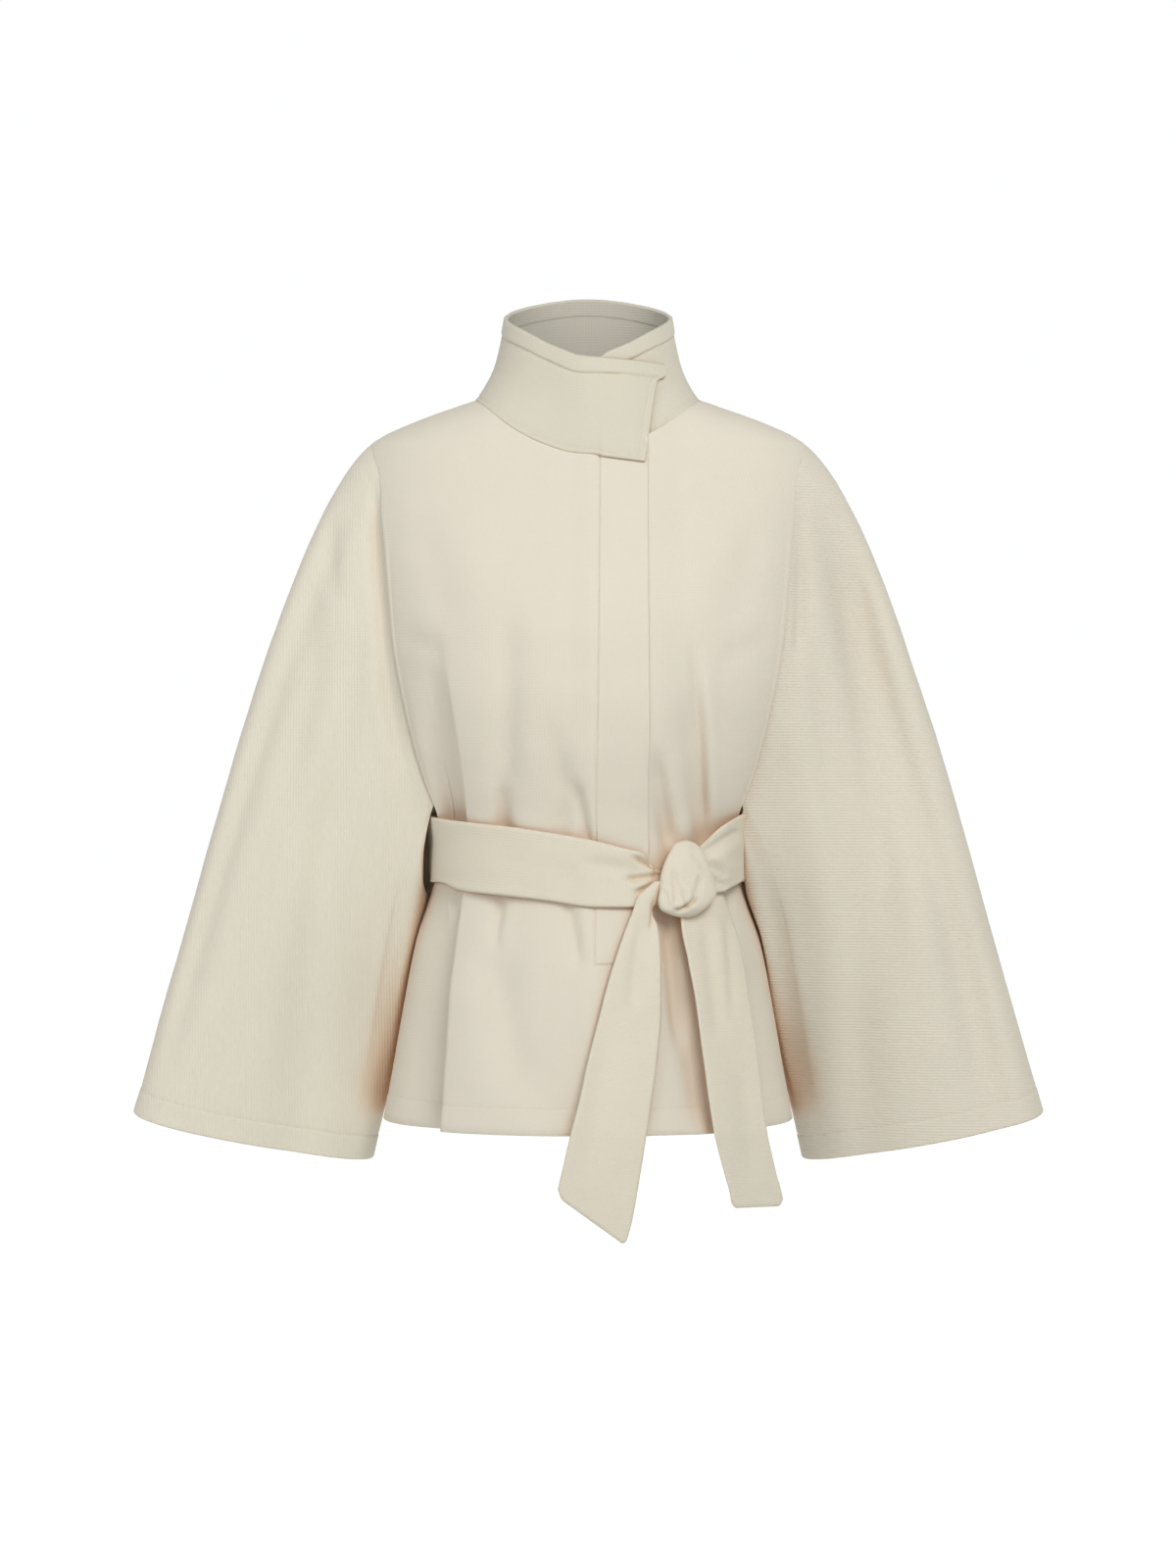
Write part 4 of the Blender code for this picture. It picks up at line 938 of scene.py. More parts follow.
for name, side, strip in (("front_right", -1, right_strip), ("front_left", 1, left_strip)):
    outer, inner, above_hem = front_cloth(side, strip, front_rows, pleat_columns)
    front_seams.append(across_at(outer, above_hem, HEM_STITCH))
    if side < 0:
        lap = outer[:, : len(strip)]
        down_fly = across_at(lap.transpose(1, 0, 2), (fly_line(lap[..., 2]) - lap[..., 0]).T, 0.0)
        front_seams.append(down_fly[down_fly[:, 2] > PLACKET_END])
        across_fly = across_at(lap, lap[..., 2], PLACKET_END)
        front_seams.append(across_fly[across_fly[:, 0] > FLY_FOOT])
        outer, inner = outer[:, ::-1], inner[:, ::-1]
    panel = cloth_piece(name + "_panel", outer, inner, cream_coating, weave=hung_weave(outer))
    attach(panel, "root")
    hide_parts(name)
front_stitching = sewn("front_stitching", front_seams, cream_thread)
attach(front_stitching, "root")


# Back: one panel of the same coating, cut whole, which the belt gathers into soft folds. It is seamed
# to the fronts at the shoulders and sides and to the sleeves round the armholes; its hem is stitched.
BACK_RIDGE = (0.945, 0.03)
BACK_FOLDS_END = (0.84, 1 / 6)  # the share of the way to the side seam where soft folds fade
BACK_CREASE_SIDE = 0.12
SHOULDER_SEAM_FOOT, SIDE_SEAM_TOP = (-0.040, 0.003), (-0.426, -0.003)
BACK_ROUGH = ((0.0006, 0.060, 5), (0.00016, 0.018, 6))
BACK_CREASES = (
    # in mm: x and height where it starts, bends and ends; width, depth, the ridge beside it
    (-105, -260, -99, -310, -96, -370, 5, 3, 1.2),
    (-56, -300, -52, -330, -50, -370, 4.2, 3, -1),
    (5, -310, 4, -340, 6, -370, 4, 3, 1),
    (60, -290, 55, -330, 54, -370, 4.4, 3, 1.2),
    (108, -260, 101, -310, 98, -370, 5, 3.2, -1.2),
    (-145, -190, -125, -220, -100, -235, 10, 1.8, 1),
    (145, -190, 125, -220, 100, -235, 10, 1.8, -1),
    (-45, -425, -48, -445, -55, -490, 5, 2.4, 1),
    (8, -425, 7, -445, 10, -490, 5, 2.4, -1),
    (52, -425, 55, -450, 62, -500, 5.5, 2.6, 1),
    (-100, -425, -108, -470, -120, -550, 9, 3, -1.4),
    (100, -425, 109, -470, 122, -560, 9, 3, 1.4),
)


def back_point(row, across):
    """A point of the back; across runs from -1 at its right side edge to 1 at its left."""
    side = np.where(across < 0, -1.0, 1.0)
    reach = np.abs(across)
    height = row_height(row, reach, "back")
    angle = math.pi - reach * row_end(row, "back")
    point = ring_point(side * angle, height)
    drawn_in = fold_depth("back", point[..., 0], height) * (1 - ramp(reach, *BACK_FOLDS_END))
    return point - ring_outward(side * angle, height) * drawn_in[..., None]


def shoulder_or_side(height):
    """1 where the back's side edge is sewn to a front, 0 along the armhole."""
    return np.maximum(ramp(height, *SHOULDER_SEAM_FOOT), ramp(height, *SIDE_SEAM_TOP))


def back_cloth(rows, columns):
    row, across = np.meshgrid(rows, columns, indexing="ij")
    outer = back_point(row, across)
    normals = -grid_normals(outer, False)
    hold = ease((1 - np.abs(columns)) / BACK_CREASE_SIDE) * ease(rows / CREASE_TOP)[:, None]
    pressed = crease_depth(outer, BACK_CREASES) * hold
    pressed -= rough(outer, BACK_ROUGH) * hold
    down = lengths_along(outer, 0)
    above_hem = down[-1] - down
    pressed += turned_up(above_hem, HEM_STITCH)
    pressed += groove(above_hem - HEM_PRESS, *HEM_FOLD_DIP)
    edge = np.abs(columns)
    pressed -= SEAM_RIDGE * ramp(edge, *BACK_RIDGE) * ramp(outer[..., 2], *RIDGE_TOP)
    outer = outer - pressed[..., None] * normals
    normals = -grid_normals(outer, False)
    for column, side in ((0, -1), (-1, 1)):
        height = outer[:, column, 2]
        around = math.pi - np.radians(SIDE_EDGE.at("back", height))
        normals[:, column] = figure_normal(side * around, height)
    inner = outer - CLOTH * normals
    gap = SEAM_GAP * shoulder_or_side(outer[:, [0, -1], 2])
    outer[:, [0, -1], 1] += gap
    inner[:, [0, -1], 1] += gap
    return outer, inner, above_hem


beside_seams = [side * place for side in (-1, 1) for place in (0.945, 0.96, 0.985, 0.993)]
back_columns = np.unique(np.concatenate([np.linspace(-1, 1, 141), beside_seams]))
outer, inner, above_hem = back_cloth(front_rows, back_columns)
back_panel = cloth_piece(
    "back_panel", outer[:, ::-1], inner[:, ::-1], cream_coating, weave=hung_weave(outer[:, ::-1])
)
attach(back_panel, "root")
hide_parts("back")
back_stitching = sewn("back_stitching", [across_at(outer, above_hem, HEM_STITCH)], cream_thread)
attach(back_stitching, "root")


# Sleeves: cape-like sleeves of the same coating, each one panel closed under the arm, set into the
# armhole and left open beside the waist for the belt. Their ribs run down one and across the other, and
# each cuff is turned up and stitched.
# The same coating on both; the left sleeve is drawn a little darker and the right a little lighter: painted
# shade and light.
RIGHT_SLEEVE_HEX = "#CDC8B9"
LEFT_SLEEVE_HEX = "#C9C3B5"
CUFF_STITCH = 0.021
CUFF_STITCH_DIP = 0.0005
SLEEVE_ROUGH = {side: ((0.0010, 0.075, 8 + side), (0.00018, 0.018, 12 + side)) for side in (-1, 1)}
SLEEVE_CREASES = (
    # in mm: x and height where it starts, bends and ends; width, depth, the ridge beside it
    (-218, -90, -226, -130, -218, -175, 7.5, 1.8, 1.4),
    (-233, -155, -234, -260, -262, -340, 14, 3.4, 1.6),
    (-172, -230, -198, -340, -206, -460, 15, 3, -1.4),
    (-270, -360, -295, -470, -308, -580, 16, 2.2, 1.2),
    (-156, -390, -165, -510, -184, -640, 12, 3.6, 1.6),
    (182, -115, 184, -165, 181, -222, 6, 4, -2.6),
    (218, -60, 242, -230, 256, -480, 23, 11, 4),
    (150, -380, 165, -500, 188, -620, 12, 4, -1.8),
    (305, -390, 325, -490, 340, -580, 16, 2.2, -1.2),
)
SLEEVE_BACK_CREASES = (
    (-210, -100, -225, -200, -245, -330, 14, 3.2, 1.6),
    (-160, -360, -175, -480, -200, -620, 13, 3.4, -1.6),
    (-280, -360, -305, -470, -325, -580, 16, 2.4, 1.2),
    (208, -100, 220, -190, 235, -310, 14, 3.2, -1.6),
    (162, -370, 175, -490, 195, -620, 13, 3.4, 1.6),
    (275, -340, 300, -460, 320, -580, 16, 2.4, -1.2),
)
# The slot at the waist where the armhole seam is left open for the belt: the sleeve's own edge.
SLOT_TOP = -0.350
SLEEVE_SLOT = Table(
    "height_mm front_mm front_out_mm back_mm back_out_mm",
    (-350, -37.9, 132.5, 30, 132.5),
    (-364, -34.5, 137, 36, 132.5),
    (-380, -31.5, 140, 36.2, 132),
    (-394, -28, 141.5, 35.8, 131.5),
    (-418, -15, 141.5, 28, 132.5),
    (-430, 0, 139, 0, 139),
)
LEFT_SLOT_NARROWER = 0.0082  # the left one is this much narrower at the front
NARROWER_FROM, NARROWER_TO = (-0.352, -0.02), (-0.430, 0.02)
# How the cloth leaves the armhole, by the share of the way down it: outwards, towards its own face,
# towards the back, and down.
LEAVES = Table(
    "share out_mm fore_mm aft_mm down_mm",
    (0, 212, 0, 0, 132),
    (0.08, 200, -30, 0, 145),
    (0.2, 160, -50, 0, 165),
    (0.4, 110, -45, 0, 160),
    (0.6, 100, -35, 0, 125),
    (0.74, 130, -30, 0, 105),
    (0.8, 115, -30, 0, 120),
    (0.86, 75, -20, 5, 135),
    (0.93, 30, -5, 30, 140),
    (1, 10, 0, 60, 160),
)
# And how it comes to the cuff.
ARRIVES = Table(
    "share out_mm fore_mm aft_mm down_mm",
    (0, 180, 0, 0, 593),
    (0.3, 150, 10, 0, 520),
    (0.6, 110, 10, 0, 390),
    (1, 55, 0, 40, 250),
)
CUFF_OUTER = (0.3940, 0.0020, -0.6140)
CUFF_INNER = (0.1880, 0.0480, -0.6600)
CUFF_DEPTH = {"front": 0.062, "back": 0.058}
CUFF_DROP = 0.007  # the hem's middle hangs lower than a straight line between its ends
CUFF_PINCH = 0.30  # the inner end is thinner than the outer one
FULLNESS = 0.72  # below 1 the cuff's oval swells sooner from its two ends
BESIDE_HIP = 0.0004  # the sleeve hangs this clear of the jacket's skirt
HIP_TOP = (-0.425, -0.020)
HIP_SOFT = 0.02  # how softly it comes to lie along the skirt, as a share of its width
# Soft flutes that run down each sleeve, by the share of the way from shoulder to underarm.
FLUTES = (
    # side, face, share at the shoulder, share at the cuff, width, depth, starts, ends
    (-1, "front", 0.10, 0.20, 0.050, 0.0070, 0.05, 0.75),
    (-1, "front", 0.34, 0.62, 0.070, 0.0060, 0.10, 0.95),
    (1, "front", 0.14, 0.30, 0.070, 0.0090, 0.05, 0.90),
    (1, "front", 0.36, 0.66, 0.070, 0.0060, 0.10, 0.95),
    (-1, "back", 0.16, 0.30, 0.065, 0.0080, 0.05, 0.95),
    (-1, "back", 0.42, 0.64, 0.070, 0.0060, 0.10, 0.95),
    (1, "back", 0.14, 0.26, 0.060, 0.0070, 0.05, 0.95),
    (1, "back", 0.40, 0.62, 0.070, 0.0070, 0.10, 0.95),
)
SEAM_REACH = -0.0040  # the sleeve runs on under the panel's edge, as a share of the way to the cuff
SEAM_UNDER = (0.0003, 0.0007)  # it lies this much under the panel, and this much more at the seam
SEAM_UNDER_REACH = 0.009
SLEEVE_HOLD, SLEEVE_SOFT = 0.10, 0.06  # shares in which creases and unevenness fade towards the seam
# The sleeve sinks this much beside the armhole seam, from below the shoulder to above the underarm.
SHOULDER_END, VALLEY_END = (0.10, 0.12), (0.80, -0.25)
VALLEY_START = 0.003
VALLEY_WIDTH = (0.006, 0.009, 0.6)  # at the shoulder, and this much more by this share of the way down
SEAM_VALLEY = {("front", -1): 0.0060, ("front", 1): 0.0020, ("back", -1): 0.0016, ("back", 1): 0.0016}


def panel_edge(row, face):
    """Angle and height of a panel's side edge, on the +X side."""
    height = ROWS.at("side", row)
    angle = np.radians(SIDE_EDGE.at(face, height))
    return (angle if face == "front" else math.pi - angle), height


def armhole_point(row, face):
    """The sleeve's edge at the armhole, for the sleeve on the +X side."""
    angle, height = panel_edge(row, face)
    slot = [SLEEVE_SLOT.at(face + "_out", height), SLEEVE_SLOT.at(face, height), height]
    return np.where((height < SLOT_TOP)[..., None], np.stack(slot, axis=-1), ring_point(angle, height))


def way_down(row, face):
    """The share of the armhole's length that lies above a row."""
    rows = np.linspace(SHOULDER_ROW, UNDERARM_ROW, 321)
    points = ring_point(*panel_edge(rows, face))
    lengths = np.concatenate([[0], np.cumsum(np.linalg.norm(np.diff(points, axis=0), axis=1))])
    return np.interp(row, rows, lengths / lengths[-1])


def sleeve_point(side, face, row, reach):
    """A point of a sleeve: row along the armhole, reach from 0 at the armhole to 1 at the cuff."""
    share = way_down(row, face)
    forward = -1.0 if face == "front" else 1.0
    start = armhole_point(row, face)
    in_slot = ramp(start[..., 2], *NARROWER_FROM) * ramp(start[..., 2], *NARROWER_TO)
    start[..., 0] -= LEFT_SLOT_NARROWER * in_slot * (side > 0 and face == "front")
    leaves = [LEAVES.at(name, share) for name in ("out", "fore", "aft", "down")]
    leaves = np.stack([leaves[0], forward * leaves[1] + leaves[2], -leaves[3]], axis=-1)
    arrives = [ARRIVES.at(name, share) for name in ("out", "fore", "aft", "down")]
    arrives = np.stack([arrives[0], forward * arrives[1] + arrives[2], -arrives[3]], axis=-1)
    over = (1 - np.cos(math.pi * share)) / 2
    bulge = np.sin(math.pi * share).clip(0) ** FULLNESS * (1 - CUFF_PINCH * over)
    cuff = np.array(CUFF_OUTER) + over[..., None] * (np.array(CUFF_INNER) - CUFF_OUTER)
    cuff = cuff + bulge[..., None] * np.array([0, forward * CUFF_DEPTH[face], -CUFF_DROP])
    t = reach[..., None]
    point = (2 * t**3 - 3 * t**2 + 1) * start + (t**3 - 2 * t**2 + t) * leaves
    point = point + (3 * t**2 - 2 * t**3) * cuff + (t**3 - t**2) * arrives
    for flute_side, flute_face, top, bottom, width, deep, starts, ends in FLUTES:
        if (flute_side, flute_face) != (side, face):
            continue
        middle = top + (bottom - top) * reach
        fade = ease((reach - starts) / 0.25) * ease((ends + 0.25 - reach) / 0.25)
        point[..., 1] -= forward * deep * fade * np.exp(-(((share - middle) / width) ** 2))
    point = beside_hip(point)
    return point * np.array([side, 1.0, 1.0])


def beside_hip(point):
    """Moves a point of the +X sleeve out until it hangs clear of the jacket's skirt."""
    x, y, z = point[..., 0], point[..., 1], point[..., 2]
    width = RINGS.at("half_width", z)
    depth = np.where(y < 0, RINGS.at("front_depth", z), RINGS.at("back_depth", z))
    inside = 1 - np.hypot(x / width, y / depth) + BESIDE_HIP / width
    push = 0.5 * (inside + np.sqrt(inside**2 + HIP_SOFT**2)) * ramp(z, *HIP_TOP)
    grow = 1 + push / np.hypot(x / width, y / depth)
    return np.stack([x * grow, y * grow, z], axis=-1)


def sleeve_cloth(side, rows, reaches):
    """A sleeve's outer points, front face down and back face up again, and its inner ones."""
    front = sleeve_point(side, "front", *np.meshgrid(rows, reaches, indexing="ij"))
    back = sleeve_point(side, "back", *np.meshgrid(rows[-2:0:-1], reaches, indexing="ij"))
    outer = np.concatenate([front, back])
    normals = side * grid_normals(outer, True)
    share = np.concatenate([way_down(rows, "front"), way_down(rows[-2:0:-1], "back")])[:, None]
    hold = ease(share / SLEEVE_HOLD) * ease((1 - share) / SLEEVE_HOLD) * ease(reaches / SLEEVE_HOLD)
    at_front = np.arange(len(outer))[:, None] < len(rows)
    pressed = crease_depth(outer, SLEEVE_CREASES) * hold * at_front
    pressed += crease_depth(outer, SLEEVE_BACK_CREASES) * hold * ~at_front
    pressed -= rough(outer, SLEEVE_ROUGH[side]) * ease(reaches / SLEEVE_SOFT)
    along = lengths_along(outer, 1)
    above_cuff = along[:, -1:] - along
    pressed += turned_up(above_cuff, CUFF_STITCH, CUFF_STITCH_DIP)
    below_shoulder = ramp(share, *SHOULDER_END)
    pressed += SEAM_UNDER[0] + SEAM_UNDER[1] * (1 - ease(along / SEAM_UNDER_REACH)) * below_shoulder
    valley = np.where(at_front, SEAM_VALLEY["front", side], SEAM_VALLEY["back", side])
    valley_width = VALLEY_WIDTH[0] + VALLEY_WIDTH[1] * ease(share / VALLEY_WIDTH[2])
    sunk = np.exp(-(((along - VALLEY_START - valley_width) / valley_width) ** 2))
    pressed += valley * sunk * below_shoulder * ramp(share, *VALLEY_END)
    outer = outer - pressed[..., None] * normals
    normals = side * grid_normals(outer, True)
    faces = [("front", row) for row in rows] + [("back", row) for row in rows[-2:0:-1]]
    for i, (face, row) in enumerate(faces):
        angle, height = panel_edge(float(row), face)
        if height > SLOT_TOP:
            normals[i, 0] = figure_normal(side * angle, height)
    return outer, outer - CLOTH * normals, above_cuff


sleeve_rows = np.linspace(SHOULDER_ROW, UNDERARM_ROW, 85)
sleeve_reaches = spaced(SEAM_REACH, 1.0, 0.0098, (0.0, 0.03, 0.003), (0.955, 0.045, 0.0025))
for name, side, cloth in (
    ("sleeve_right", -1, coating("cream_coating_ribs_upright", RIGHT_SLEEVE_HEX, 0.20, 0.80)),
    ("sleeve_left", 1, coating("cream_coating_ribs_level", LEFT_SLEEVE_HEX, 1.0, 0.20)),
):
    outer, inner, above_cuff = sleeve_cloth(side, sleeve_rows, sleeve_reaches)
    cuff = across_at(outer.transpose(1, 0, 2), above_cuff.T, CUFF_STITCH)
    if side < 0:
        outer, inner = outer[:, ::-1], inner[:, ::-1]
    weave = outer[..., [0, 2]] * [1, -1]
    sleeve = cloth_piece(name + "_cape", outer, inner, cloth, wraps=True, weave=weave)
    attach(sleeve, "root")
    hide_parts(name)
    cuff_stitching = sewn(name + "_cuff_stitching", [np.concatenate([cuff, cuff[:1]])], cream_thread)
    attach(cuff_stitching, "root")


# Collar: a stiff funnel of two layers with an interlining, which wraps round the neck and laps past the
# centre front to a slanted end. A band is edge-stitched along its top, and the seam is stitched below.
# The collar's cloth is drawn a little darker than the fronts' same coating: painted shade.
COLLAR_HEX = "#C2BDAE"
SHADED_FACING_HEX = "#B4B0A4"  # the inside: the same coating drawn darker and greyer, painted shade for an inside that lies in shadow
COLLAR_CLOTH = 0.0024
COLLAR_BASE_STITCH = 0.0042
COLLAR_END_STITCH = 0.0060
COLLAR_WIDTH, COLLAR_FRONT, COLLAR_BACK = 0.0722, 0.0690, 0.0660  # half sizes of its top edge
COLLAR_TOP = Table(
    "bearing height_mm",
    (0, 28.5),
    (6, 29.5),
    (17, 34.5),
    (31, 41.8),
    (49, 52.5),
    (90, 70.7),
    (112, 79),
    (135, 86.4),
    (158, 92),
    (172, 93.9),
    (180, 94.2),
)
# The outer layer's end droops a little past the centre front; its top edge there.
COLLAR_LAP_TOP = Table(
    "bearing height_mm",
    (0, 28.5),
    (20, 26.8),
    (45, 25.2),
    (66, 24),
)
# How the collar draws in from the neckline to its top edge.
COLLAR_FLARE = Table(
    "share drawn_in",
    (0, 0),
    (0.15, 0.28),
    (0.39, 0.61),
    (0.62, 0.79),
    (1, 1),
)
OUTER_END_TOP = 58.0  # bearing of the top corner of the end that shows
# The end's slant: how many degrees short of that corner it stops, by the share of its height.
COLLAR_END = Table(
    "share short",
    (0, 24.8),
    (0.25, 20.8),
    (0.5, 16.4),
    (0.73, 12.2),
    (0.84, 9.4),
    (0.9, 2.6),
    (1, 0),
)
TAB_FOOT = (-0.0532, -0.125)  # height of its lower edge at the centre front, and how it falls to the end
TAB_AIR = 0.0004  # it lies this far off the right front
TAB_TURN, TAB_AIR_TURN = 10, 12  # degrees past the centre front in which it gets there
LAP_BEARING = -24.0  # the slant of the end is taken up by this bearing
INNER_END = -357.0  # bearing of the hidden end, after a whole turn
COLLAR_SEAM = -0.0002  # the base stands this much above the neckline, which slopes steeply
COLLAR_LAP = 0.0040  # the outer layer stands out this much where it lies over the inner one
COLLAR_LAP_TURN = (-30, 30)
UNDER_DROP = 0.0040  # the hidden end's corner lies this much lower
UNDER_DROP_TURN = (-345, -12)
COLLAR_BAND = 0.0135  # the edge-stitched band along the top
COLLAR_RELIEF, INNER_RELIEF = 0.0011, 0.0006  # the band stands this proud outside and inside
BAND_DIP, BASE_DIP, END_DIP = 0.0007, 0.0006, 0.0004
COLLAR_ROUGH = ((0.00035, 0.045, 21),)
BASE_PROUD = 0.0012  # the stitched base stands this proud of the fronts
PROUD_TURN, STITCHED_TURN = (-270, 30), (-280, 20)  # but where the outer layer hides it
BAND_ROWS = COLLAR_BAND + 0.002  # closer rows begin this far below the top edge


def neckline(bearing):
    """The neckline at a bearing in degrees from the centre front, seen from above; x is positive."""
    across = np.linspace(0, 1, 121)
    front_height = row_height(0, across, "front")
    front = ring_point(np.radians(90 * across), front_height)
    back_height = row_height(0, across[::-1], "back")
    back = ring_point(np.radians(180 - 90 * across[::-1]), back_height)
    line = np.concatenate([front, back[1:]])
    bearings = np.degrees(np.arctan2(line[:, 0], -line[:, 1]))
    return np.stack([np.interp(bearing, bearings, line[:, k]) for k in range(3)], axis=-1)


def collar_point(turn, share):
    """A point of the collar: turn is a bearing that falls from the outer end round to the inner one."""
    side = np.where(turn > 0, 1.0, np.where(turn > -180, -1.0, 1.0))
    bearing = np.where(turn > -180, np.abs(turn), 360 + turn)
    base = neckline(bearing)
    lapped = ramp(turn, *COLLAR_LAP_TURN)
    base_angle = np.arcsin(base[..., 0] / RINGS.at("half_width", base[..., 2]))
    base_out = (lap_rise(base[..., 0]) + placket_rise(base[..., 0], base[..., 2])) * (turn > 0)
    base_out = base_out + lap_rise(-base[..., 0]) * ((turn <= 0) & (turn > -90))
    base_out = base_out + BASE_PROUD * ramp(turn, *PROUD_TURN)
    base = base + ring_outward(base_angle, base[..., 2]) * base_out[..., None]
    on_front = (turn > 0)[..., None]
    foot_x = np.clip(base[..., 0], 0, 0.09)
    foot = TAB_FOOT[0] + TAB_FOOT[1] * foot_x
    foot_angle = np.arcsin(foot_x / RINGS.at("half_width", foot))
    rise = lap_rise(foot_x) + placket_rise(foot_x, foot) + COLLAR_CLOTH
    rise = rise + TAB_AIR * ease(turn / TAB_AIR_TURN)
    tab = ring_point(foot_angle, foot) + ring_outward(foot_angle, foot) * rise[..., None]
    base = np.where(on_front, base + (tab - base) * ease(turn / TAB_TURN)[..., None], base)
    plan = np.radians(bearing)
    depth = np.where(bearing < 90, COLLAR_FRONT, COLLAR_BACK)
    radius = COLLAR_WIDTH * depth / np.hypot(depth * np.sin(plan), COLLAR_WIDTH * np.cos(plan))
    full_height = COLLAR_TOP.at("height", bearing)
    top_height = np.where(turn > 0, COLLAR_LAP_TOP.at("height", bearing), full_height)
    top_height = top_height - UNDER_DROP * ramp(turn, *UNDER_DROP_TURN)
    outward = np.stack([np.sin(plan), -np.cos(plan)], axis=-1)
    low_height = base[..., 2] + COLLAR_SEAM
    height = low_height + (top_height - low_height) * share
    drawn_in = COLLAR_FLARE.at("drawn_in", (height - low_height) / (full_height - low_height))[..., None]
    high = outward * (radius + COLLAR_LAP * lapped)[..., None]
    level = base[..., :2] + (high - base[..., :2]) * drawn_in
    return np.concatenate([level * np.stack([side, side**2], axis=-1), height[..., None]], axis=-1)


def collar_grid(turns):
    """Rows of the collar from its seam up to its top edge, closer together at its two stitch lines."""
    rise = collar_point(turns, np.ones_like(turns))[:, 2] - collar_point(turns, 0 * turns)[:, 2]
    band = 1 - BAND_ROWS / rise
    low = spaced(0, 1, 0.06, (0.07, 0.05, 0.0125))[:, None] * band
    high = 1 - spaced(BAND_ROWS, 0, 0.0012, (COLLAR_BAND, 0.0015, 0.0005))[1:, None] / rise
    share = np.concatenate([low, high])
    turn = np.broadcast_to(turns, share.shape)
    slant = COLLAR_END.at("short", share)
    from_end = (OUTER_END_TOP - turn) / (OUTER_END_TOP - LAP_BEARING)
    return collar_point(turn - slant * np.clip(1 - from_end, 0, 1), share)


turns = np.linspace(LAP_BEARING, INNER_END, 190)[1:]
turns = np.concatenate([np.linspace(OUTER_END_TOP, LAP_BEARING, 90), turns])
outer = collar_grid(turns)
normals = grid_normals(outer, False)
up = lengths_along(outer, 0)
below_top = up[-1] - up
along = lengths_along(outer, 1)
end = ease(along / 0.012) * ease((along[:, -1:] - along) / 0.012)
raised = rough(outer, COLLAR_ROUGH) * end * ease(up / 0.01)
inner = outer + (raised - COLLAR_CLOTH)[..., None] * normals
banded = ease((COLLAR_BAND - below_top) / 0.001 + 0.5)
inner = inner - (INNER_RELIEF * banded)[..., None] * normals
raised = raised + COLLAR_RELIEF * banded - groove(below_top - COLLAR_BAND, BAND_DIP)
seen_base = ramp(turns, *STITCHED_TURN)
raised = raised - groove(up - COLLAR_BASE_STITCH, BASE_DIP) * seen_base
raised = raised - groove(along - COLLAR_END_STITCH, END_DIP)
outer = outer + raised[..., None] * normals
collar_coating = coating("collar_rib_coating", COLLAR_HEX, 0.35, 0.25)
# The inside's darker copy of the coating is painted shade.
collar_shaded_inside = coating("collar_facing_coating", SHADED_FACING_HEX, 0.35, 0.25)
collar = cloth_piece("collar_stand", outer, inner, collar_coating, facing=collar_shaded_inside)
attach(collar, "root")
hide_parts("collar")
collar_seams = [
    across_at(outer, below_top, COLLAR_BAND + 0.0006),
    across_at(outer, up, COLLAR_BASE_STITCH),
    across_at(outer.transpose(1, 0, 2), along.T, COLLAR_END_STITCH),
]
collar_stitching = sewn("collar_stitching", collar_seams, cream_thread)
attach(collar_stitching, "root")


# Belt: a strip of the coating sewn into a tube, turned out and pressed flat, doubled cloth 56 mm wide.
# It gathers into the left of the knot, runs round the waist through the armhole slots and comes back
# into the knot from the other side; the knot's front is one more turn of it.
BELT_HEX = "#CAC4B4"
BELT_CLOTH = 0.0030
BELT_CROWN = 0.0008
ROLL_ANGLE = 112.0  # how far round a rolled edge turns, in degrees
RUN_ROLL = 0.0050
OFF_LAP = (LAP_EDGE + 0.012, -0.010)  # the belt comes down from the right front's edge to the left one
BELT_ROUGH = ((0.0005, 0.040, 31), (0.0002, 0.014, 32))
BELT_CREASES = (
    # in mm: x and height where it starts, bends and ends; width, depth, the ridge beside it
    (34, -393, 49, -398.5, 64, -406, 2.2, 4.8, 1.4),
    (28, -412, 45, -414.5, 61, -409, 2.6, 5.2, -1.2),
    (37, -425, 49, -421, 60, -413, 2.2, 3.6, 1),
    (-10, -399, 20, -403, 50, -407, 6.5, 2.4, 1.2),
    (90, -396, 108, -385, 129, -374, 4, 3.6, -1.4),
    (100, -397, 109, -404, 117, -412, 3.6, 2.6, 1),
    (99, -413, 108, -416, 120, -419, 3, 2, 0.8),
    (-90, -390, -50, -399, -10, -408, 11, 1, 0.6),
)
# The knot's front: the belt comes over the top, spreads and turns under at a lip. Its outline at each
# height and how far its face stands off the coat.
KNOT_FORM = Table(
    "height_mm left_mm right_mm out_mm",
    (-446.2, 80.5, 83.5, 15),
    (-444.9, 74, 88.5, 19),
    (-442.1, 67, 94.1, 24.5),
    (-437.2, 60.3, 100.2, 29.2),
    (-431, 58.8, 105.7, 31.5),
    (-423.6, 59.8, 108.5, 32.2),
    (-411.3, 60.8, 105.7, 31.2),
    (-401.4, 62.8, 101.5, 29.2),
    (-389.1, 68.7, 95.3, 24.5),
    (-383, 72.5, 91, 20),
    (-380.6, 78, 86, 16.5),
)
KNOT_BACK = 0.0060  # how far the back of the knot stands off the coat
KNOT_SQUARE = 0.8  # below 1 its section is squarer than an oval
KNOT_ASKEW = 0.35  # its face looks a little towards the wearer's left
KNOT_ROUGH = ((0.0007, 0.022, 35), (0.0002, 0.009, 36))
